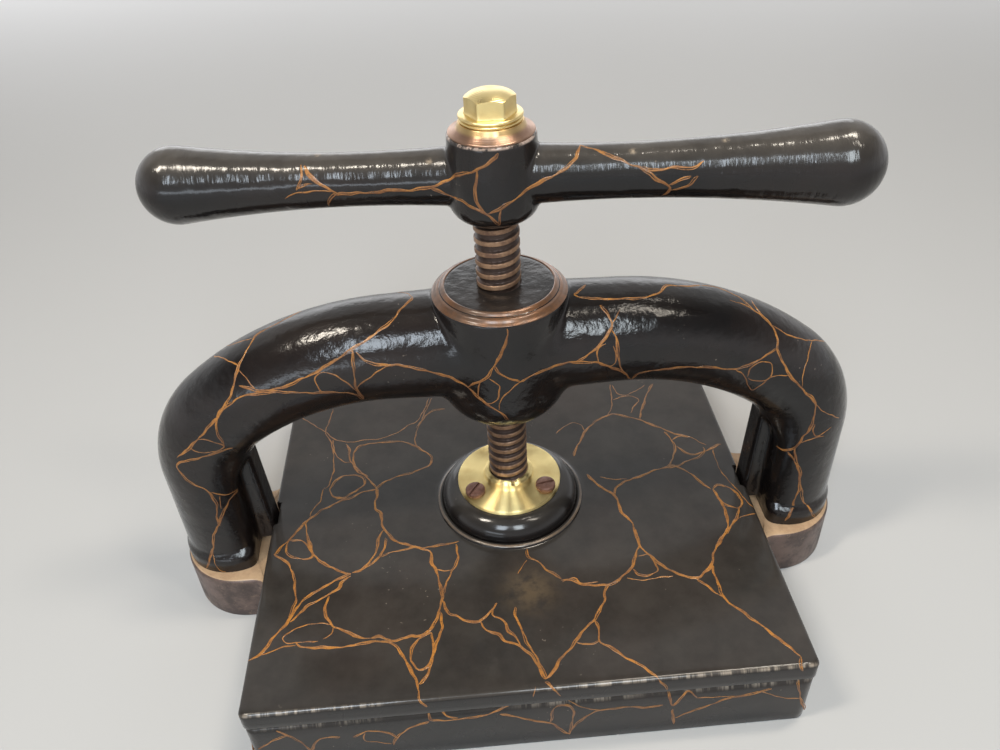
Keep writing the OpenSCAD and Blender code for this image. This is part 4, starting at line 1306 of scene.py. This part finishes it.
def bronze_finish(name, bright, dull, metallic):
    """Paint of the bands: bronze with a soft shine, rubbed dull in places."""
    f = Finish(name, metallic=metallic, coat_weight=0.5, coat_roughness=0.15)
    worn = f.ramp(f.noise(45, 5, 0.65), 0.36, 0.66)
    fine = f.ramp(f.noise(420, 3), 0.48, 0.72)
    f.feed("Base Color", f.mix(f.times(fine, 0.5), f.mix(worn, bright, dull), BRONZE_GRIME))
    f.feed("Roughness", f.ramp(worn, 0, 1, 0.28, 0.45))
    f.feed("Normal", f.bump(f.noise(380, 3), 0.00005))
    return f.material


def lug_finish(name, pale, brown, scratch):
    """Rubbed paint of the lugs: pale where it is worn to the primer, brown in stains, and flecked."""
    f = Finish(name, coat_weight=0.15, coat_roughness=0.3)
    stain = f.ramp(f.noise(65, 6, 0.7), 0.36, 0.64)
    colour = f.mix(stain, pale, brown)
    colour = f.mix(f.times(f.ramp(f.noise(240, 5, 0.75), 0.56, 0.7), 0.6), colour, scratch)
    f.feed("Base Color", colour)
    f.feed("Roughness", f.ramp(stain, 0, 1, 0.42, 0.6))
    f.feed("Normal", f.bump(f.noise(300, 4), 0.00008))
    return f.material


def brass_finish(name, bright, dull, shine, spread, inner=None):
    """Turned brass: fine rings left by the lathe spread its shine across them, with a little tarnish. Within
    the inner radius, if given, it takes on the polish of the nut."""
    f = Finish(name, metallic=1.0, anisotropic=spread, anisotropic_rotation=0.25)
    tarnish = f.ramp(f.noise(55, 5, 0.6), 0.4, 0.75)
    colour = f.mix(f.times(tarnish, 0.6), bright, dull)
    if inner:
        colour = f.mix(f.ramp(f.radius(), inner, inner + POLISH_FADE, 0.65, 0.0), colour, NUT_POLISH)
    f.feed("Base Color", colour)
    rough = f.ramp(f.noise(190, 3), 0.3, 0.7, shine, shine + 0.06)
    f.feed("Roughness", f.plus(rough, f.times(tarnish, 0.08)))
    around = f.tree.nodes.new("ShaderNodeTangent")
    around.direction_type = "RADIAL"
    around.axis = "Z"
    f.feed("Tangent", around.outputs["Tangent"])
    rings = f.math("SINE", f.times(f.radius(), TURN / LATHE_PITCH))
    uneven = f.times(rings, f.ramp(f.noise(75, 3), 0.35, 0.7))
    f.feed("Normal", f.bump(uneven, 0.00003))
    return f.material


def spindle_finish():
    """Browned steel screw: worn crests are paler than the oily roots."""
    f = Finish("browned_steel", metallic=0.45)
    crest = f.ramp(f.radius(), *CREST_R)
    grime = f.ramp(f.noise(160, 5, 0.65), 0.35, 0.7)
    worn = f.mix(grime, CREST_WORN, CREST_GRIME)
    f.feed("Base Color", f.mix(crest, THREAD_OIL, worn))
    f.feed("Roughness", f.ramp(grime, 0, 1, 0.34, 0.55))
    f.feed("Normal", f.bump(f.noise(900, 3), 0.00005))
    return f.material


def iron_finish(name, fresh, rusty, metallic):
    """Bare iron with rust bloom and a pitted skin."""
    f = Finish(name, metallic=metallic)
    bloom = f.ramp(f.noise(260, 6, 0.65), 0.38, 0.66)
    f.feed("Base Color", f.mix(bloom, fresh, rusty))
    f.feed("Roughness", f.ramp(bloom, 0, 1, 0.36, 0.62))
    f.feed("Normal", f.bump(f.noise(700, 5, 0.6), 0.00012))
    return f.material


BROWN_PATCH_PX = (530, 590)
CHIP_PX = ((317, 155), (429, 161), (633, 151), (726, 140))
CHIP_R = 2.6
brown_patch_at = seen_on(platen_distance, np.array([BROWN_PATCH_PX], float))[0]
chips_at = seen_on(handle_distance, np.array(CHIP_PX, float))

japan = japan_finish("black_japan", dust_and_sheen=0.15, dust_from=0.75, gloss=0.14, wave=0.0008, brush=(1, 1, 1))
handled_japan = japan_finish("black_japan_handled", dust_and_sheen=0.7, dust_from=0.15, gloss=0.15, wave=0.0008,
                             brush=(1, 0.2, 0.2), marks=handle_marks)
# Bed finish: its round top edge carries rubbed paint and a painted highlight
worn_highlit_japan = japan_finish("black_japan_worn_highlit_edges", dust_and_sheen=0.15, dust_from=0.75, gloss=0.11, wave=0.0002,
                          brush=(1, 0.2, 0.2), marks=edge_wear_and_highlight_marks)
# Platen and dome: a strong pale film that reaches down the dome, dust and painted sheen for their reflection of
# pale surroundings
dust_and_sheen_japan = japan_finish("black_japan_dust_and_sheen", dust_and_sheen=0.42, dust_from=0.3, gloss=0.14, wave=0.00008,
                           brush=(0.3, 1, 1), marks=platen_marks)
gold = gold_finish()
bronze = bronze_finish("bronze_paint", (0.22, 0.10, 0.045), (0.09, 0.05, 0.03), metallic=0.45)
bead_paint = bronze_finish("dull_bead_paint", (0.17, 0.12, 0.08), (0.085, 0.062, 0.045), metallic=0.2)
lug_pale = lug_finish("pale_lug_paint", (0.50, 0.335, 0.20), (0.37, 0.235, 0.135), (0.24, 0.15, 0.09))
# Lug sides: a brown that is partly stains and partly a painted reflection of red-brown surroundings
lug_stain_and_reflection = lug_finish("stained_lug_paint_and_reflection", (0.125, 0.078, 0.062), (0.050, 0.033, 0.028),
                       (0.26, 0.175, 0.12))
polished_brass = brass_finish("polished_brass", (0.88, 0.70, 0.33), (0.64, 0.45, 0.18), shine=0.27,
                              spread=0.25)
turned_brass = brass_finish("turned_brass", (0.95, 0.77, 0.36), (0.76, 0.55, 0.22), shine=0.36, spread=1.0)
dull_brass = brass_finish("dull_brass", (0.43, 0.27, 0.19), (0.25, 0.15, 0.105), shine=0.34, spread=0.8,
                          inner=0.0158)
browned_steel = spindle_finish()
rust = iron_finish("rusty_screw_iron", (0.20, 0.10, 0.072), (0.11, 0.046, 0.03), metallic=0.35)
bolt_iron = iron_finish("bolt_iron", (0.16, 0.15, 0.145), (0.11, 0.075, 0.055), metallic=0.8)

# Pieces

# Strength of the bed's rubbed edge and painted highlight
BED_WEAR_AND_HIGHLIGHT = 0.85
arch = piece_of("arch_casting", closed_skin(arch_rings()), japan, "frame", "japanned_iron", "arch_frame")
carve(arch, closed_skin(turned([(BORE_R, ARM_Z - 90), (BORE_R, BOSS_TOP + 20)], 96)))
piece_of("t_handle", closed_skin(handle_rings()), handled_japan, "screw", "japanned_iron", "handle")
platen_skin = closed_skin(platen_rings())
piece_of("platen_casting", platen_skin, dust_and_sheen_japan, "platen", "japanned_iron", "platen",
         wear_and_highlight=edge_wear_and_highlight(platen_skin[0], PLATE_TOP, PLATEN_EDGE))
bed_skin = closed_skin(bed_rings())
bed = piece_of("bed_casting", bed_skin, worn_highlit_japan, "frame", "japanned_iron", "base_plate",
               wear_and_highlight=BED_WEAR_AND_HIGHLIGHT * edge_wear_and_highlight(bed_skin[0], BED_TOP, BED_EDGE))
carve(bed, *bed_hollows())
lug_skin_rings = np.concatenate([lug_rings(LUG_SIDE), lug_hole_rings()])
for name, side in (("right", 1), ("left", -1)):
    piece_of(f"foot_lug_{name}", ring_skin(lug_skin_rings * (side, 1, 1)), lug_stain_and_reflection, "frame",
             "japanned_iron")
    piece_of(f"lug_paint_{name}", closed_skin(lug_rings(LUG_PAINT) * (side, 1, 1)), lug_pale, "frame",
             "japanned_iron")
piece_of("threaded_spindle", closed_skin(spindle_rings()), browned_steel, "screw", "screw_steel", "spindle")
piece_of("brass_collar", ring_skin(collar_rings()), turned_brass, "platen", "brass", "retaining_collar")
for name, angle in SCREW_ANGLES.items():
    x, y = SCREW_CIRCLE * math.cos(math.radians(angle)), SCREW_CIRCLE * math.sin(math.radians(angle))
    screw = piece_of(f"flange_screw_{name}", closed_skin(screw_rings(x, y)), rust, "platen", "rusty_steel",
                     f"collar_screw_{name}")
    carve(screw, slot_of(x, y, SLOT_ANGLES[name]))
piece_of("flared_washer", ring_skin(washer_rings()), dull_brass, "screw", "brass", "handle_washer")
piece_of("cap_nut_brass", closed_skin(nut_rings()), polished_brass, "screw", "brass", "cap_nut")
piece_of("boss_band", ring_skin(boss_band_rings()), bronze, "frame", "japanned_iron")
piece_of("bead_band", ring_skin(bead_band_rings()), bead_paint, "platen", "japanned_iron")

HALF_TURN = ((-1, 0, 0), (0, -1, 0), (0, 0, 1))
TO_RIGHT = ((0, -HALF_W / HALF_D, 0), (HALF_D / HALF_W, 0, 0), (0, 0, 1))
TO_LEFT = ((0, HALF_W / HALF_D, 0), (-HALF_D / HALF_W, 0, 0), (0, 0, 1))


def faces_away(solid, p):
    """Points whose surface faces away from the camera."""
    return np.einsum("ij,ij->i", normals_of(solid, p), EYE - p) < 0


def away_beside_lug(solid, p):
    """Points that face away from the camera and lie clear of the lugs' roots."""
    return faces_away(solid, p) & (np.abs(p[:, 1]) > LUG_R + LUG_FILLET + 2)


def behind_arch(solid, p):
    """Points of the platen, clear of its boss, that the arch hides from the camera: some place on the way to
    the camera lies inside the arch."""
    way = np.linspace(0, 1, 160)[:, None, None]
    hidden = (arch_distance(p + way * (EYE - p)) < 0).any(0)
    clear = np.hypot(p[:, 0], p[:, 1]) > BEAD_R + 2 * BEAD_HALF
    return hidden & clear & (p[:, 2] > PLATE_TOP - PLATEN_EDGE)


half_turned = [(HALF_TURN, faces_away)]
on_sides = [(TO_RIGHT, away_beside_lug), (TO_LEFT, away_beside_lug)]
for name, solid, lines, turns, body in (
        ("arch_veins", arch_distance, ARCH_VEINS, half_turned, "frame"),
        ("handle_veins", handle_distance, HANDLE_VEINS, half_turned, "screw"),
        ("platen_veins", platen_distance, PLATEN_VEINS, [(HALF_TURN, behind_arch)], "platen"),
        ("bed_veins", bed_distance, BED_VEINS, half_turned + on_sides, "frame")):
    piece_of(name, veins_of(solid, lines, turns), gold, body, "japanned_iron")

for node in ("arch_bolt_left", "arch_bolt_right", "arch_washer_left", "arch_washer_right", "thrust_disc"):
    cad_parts[node].data.materials.clear()
    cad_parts[node].data.materials.append(bolt_iron)

# Floor, light and camera. The backdrop glows for rays that show it and is a dim even light for the rest

BACKDROP = (0.80, 0.80, 0.81, 1)
FAR_GLOW = 0.75
EDGE_GLOW = 0.1
SKY_LIGHT = 0.19
WALL_GLOW = 0.8
FLOOR_HALF = 4.0
PAPER = (0.47, 0.467, 0.463)
PAPER_PALE = (0.49, 0.487, 0.483)
LAMP_CENTRE = Vector((0, 0, 0.15))
WARM = (1.0, 0.91, 0.78)
COOL = (0.80, 0.90, 1.0)
PALE_COOL = (0.86, 0.95, 1.0)
PALE_WALL = (0.97, 0.98, 1.0)

floor_mesh = bpy.data.meshes.new("floor")
floor_mesh.from_pydata([(x * FLOOR_HALF, y * FLOOR_HALF, 0) for x, y in SQUARE], [], [(0, 1, 2, 3)])
floor = bpy.data.objects.new("floor", floor_mesh)
bpy.context.scene.collection.objects.link(floor)
paper = Finish("pale_floor", roughness=0.6)
paper.feed("Base Color", paper.mix(paper.noise(3, 3), PAPER, PAPER_PALE))
away = paper.radius()
far = paper.plus(paper.ramp(away, 0.7, 3.0, 0, FAR_GLOW), paper.ramp(away, 2.6, 3.9, 0, EDGE_GLOW))
paper.feed("Emission Color", BACKDROP)
paper.feed("Emission Strength", paper.times(far, paper.background_rays()))
floor_mesh.materials.append(paper.material)

world = bpy.data.worlds.new("studio")
bpy.context.scene.world = world
world.use_nodes = True
sky = Nodes(world.node_tree, "Generated")
_, behind, height = sky.axes()
low_rim = sky.ramp(height, 0.1, 0.6, 1.0, SKY_LIGHT)
# A pale wall on the far side, which the platen mirrors
wall = sky.times(sky.ramp(behind, 0.15, 0.5, 0, WALL_GLOW), sky.ramp(height, 0.95, 0.8))
extra = sky.math("SUBTRACT", sky.math("MAXIMUM", low_rim, wall), SKY_LIGHT)
strength = sky.plus(sky.times(sky.background_rays(), extra), SKY_LIGHT)
background = world.node_tree.nodes["Background"].inputs
background["Color"].default_value = BACKDROP
sky.put(background["Strength"], strength)


def lamp(name, turn, rise, away, size, power, colour):
    """Rectangular lamp that faces the press: its turn from the far side to the user's right and its rise
    above the floor in degrees, its distance and sides in metres, and its power in watts."""
    light = bpy.data.lights.new(name, "AREA")
    light.shape = "RECTANGLE"
    light.size, light.size_y = size
    light.energy = power
    light.color = colour
    turn, rise = math.radians(turn), math.radians(rise)
    toward = Vector((math.cos(rise) * math.sin(turn), math.cos(rise) * math.cos(turn), math.sin(rise)))
    stand = bpy.data.objects.new(name, light)
    stand.location = LAMP_CENTRE + toward * away
    stand.rotation_euler = toward.to_track_quat("Z", "Y").to_euler()
    bpy.context.scene.collection.objects.link(stand)


lamp("warm_left", -110, 60, 1.8, (0.2, 0.45), 13, WARM)
lamp("warm_right", 80, 73, 1.8, (0.16, 0.6), 12, WARM)
lamp("warm_right_front", 125, 62, 1.8, (0.13, 0.5), 4, WARM)
lamp("cool_window_left", -160, 42, 2.2, (0.5, 0.9), 21, COOL)
lamp("cool_window_right", 170, 42, 2.2, (0.45, 0.9), 20, PALE_COOL)
lamp("cool_window_low", -152, 6, 2.2, (1.0, 0.22), 3.5, COOL)
lamp("pale_wall_behind", 0, 16, 2.6, (3.0, 1.2), 16, PALE_WALL)

camera = bpy.data.objects.new("camera", bpy.data.cameras.new("camera"))
camera.data.lens = CAMERA_LENS
camera.data.sensor_width = SENSOR_W
camera.matrix_world = Matrix((RIGHTWARD, UPWARD, -AHEAD)).transposed().to_4x4()
camera.location = CAMERA_AT
bpy.context.scene.collection.objects.link(camera)
bpy.context.scene.camera = camera
bpy.context.scene.view_settings.view_transform = "Standard"
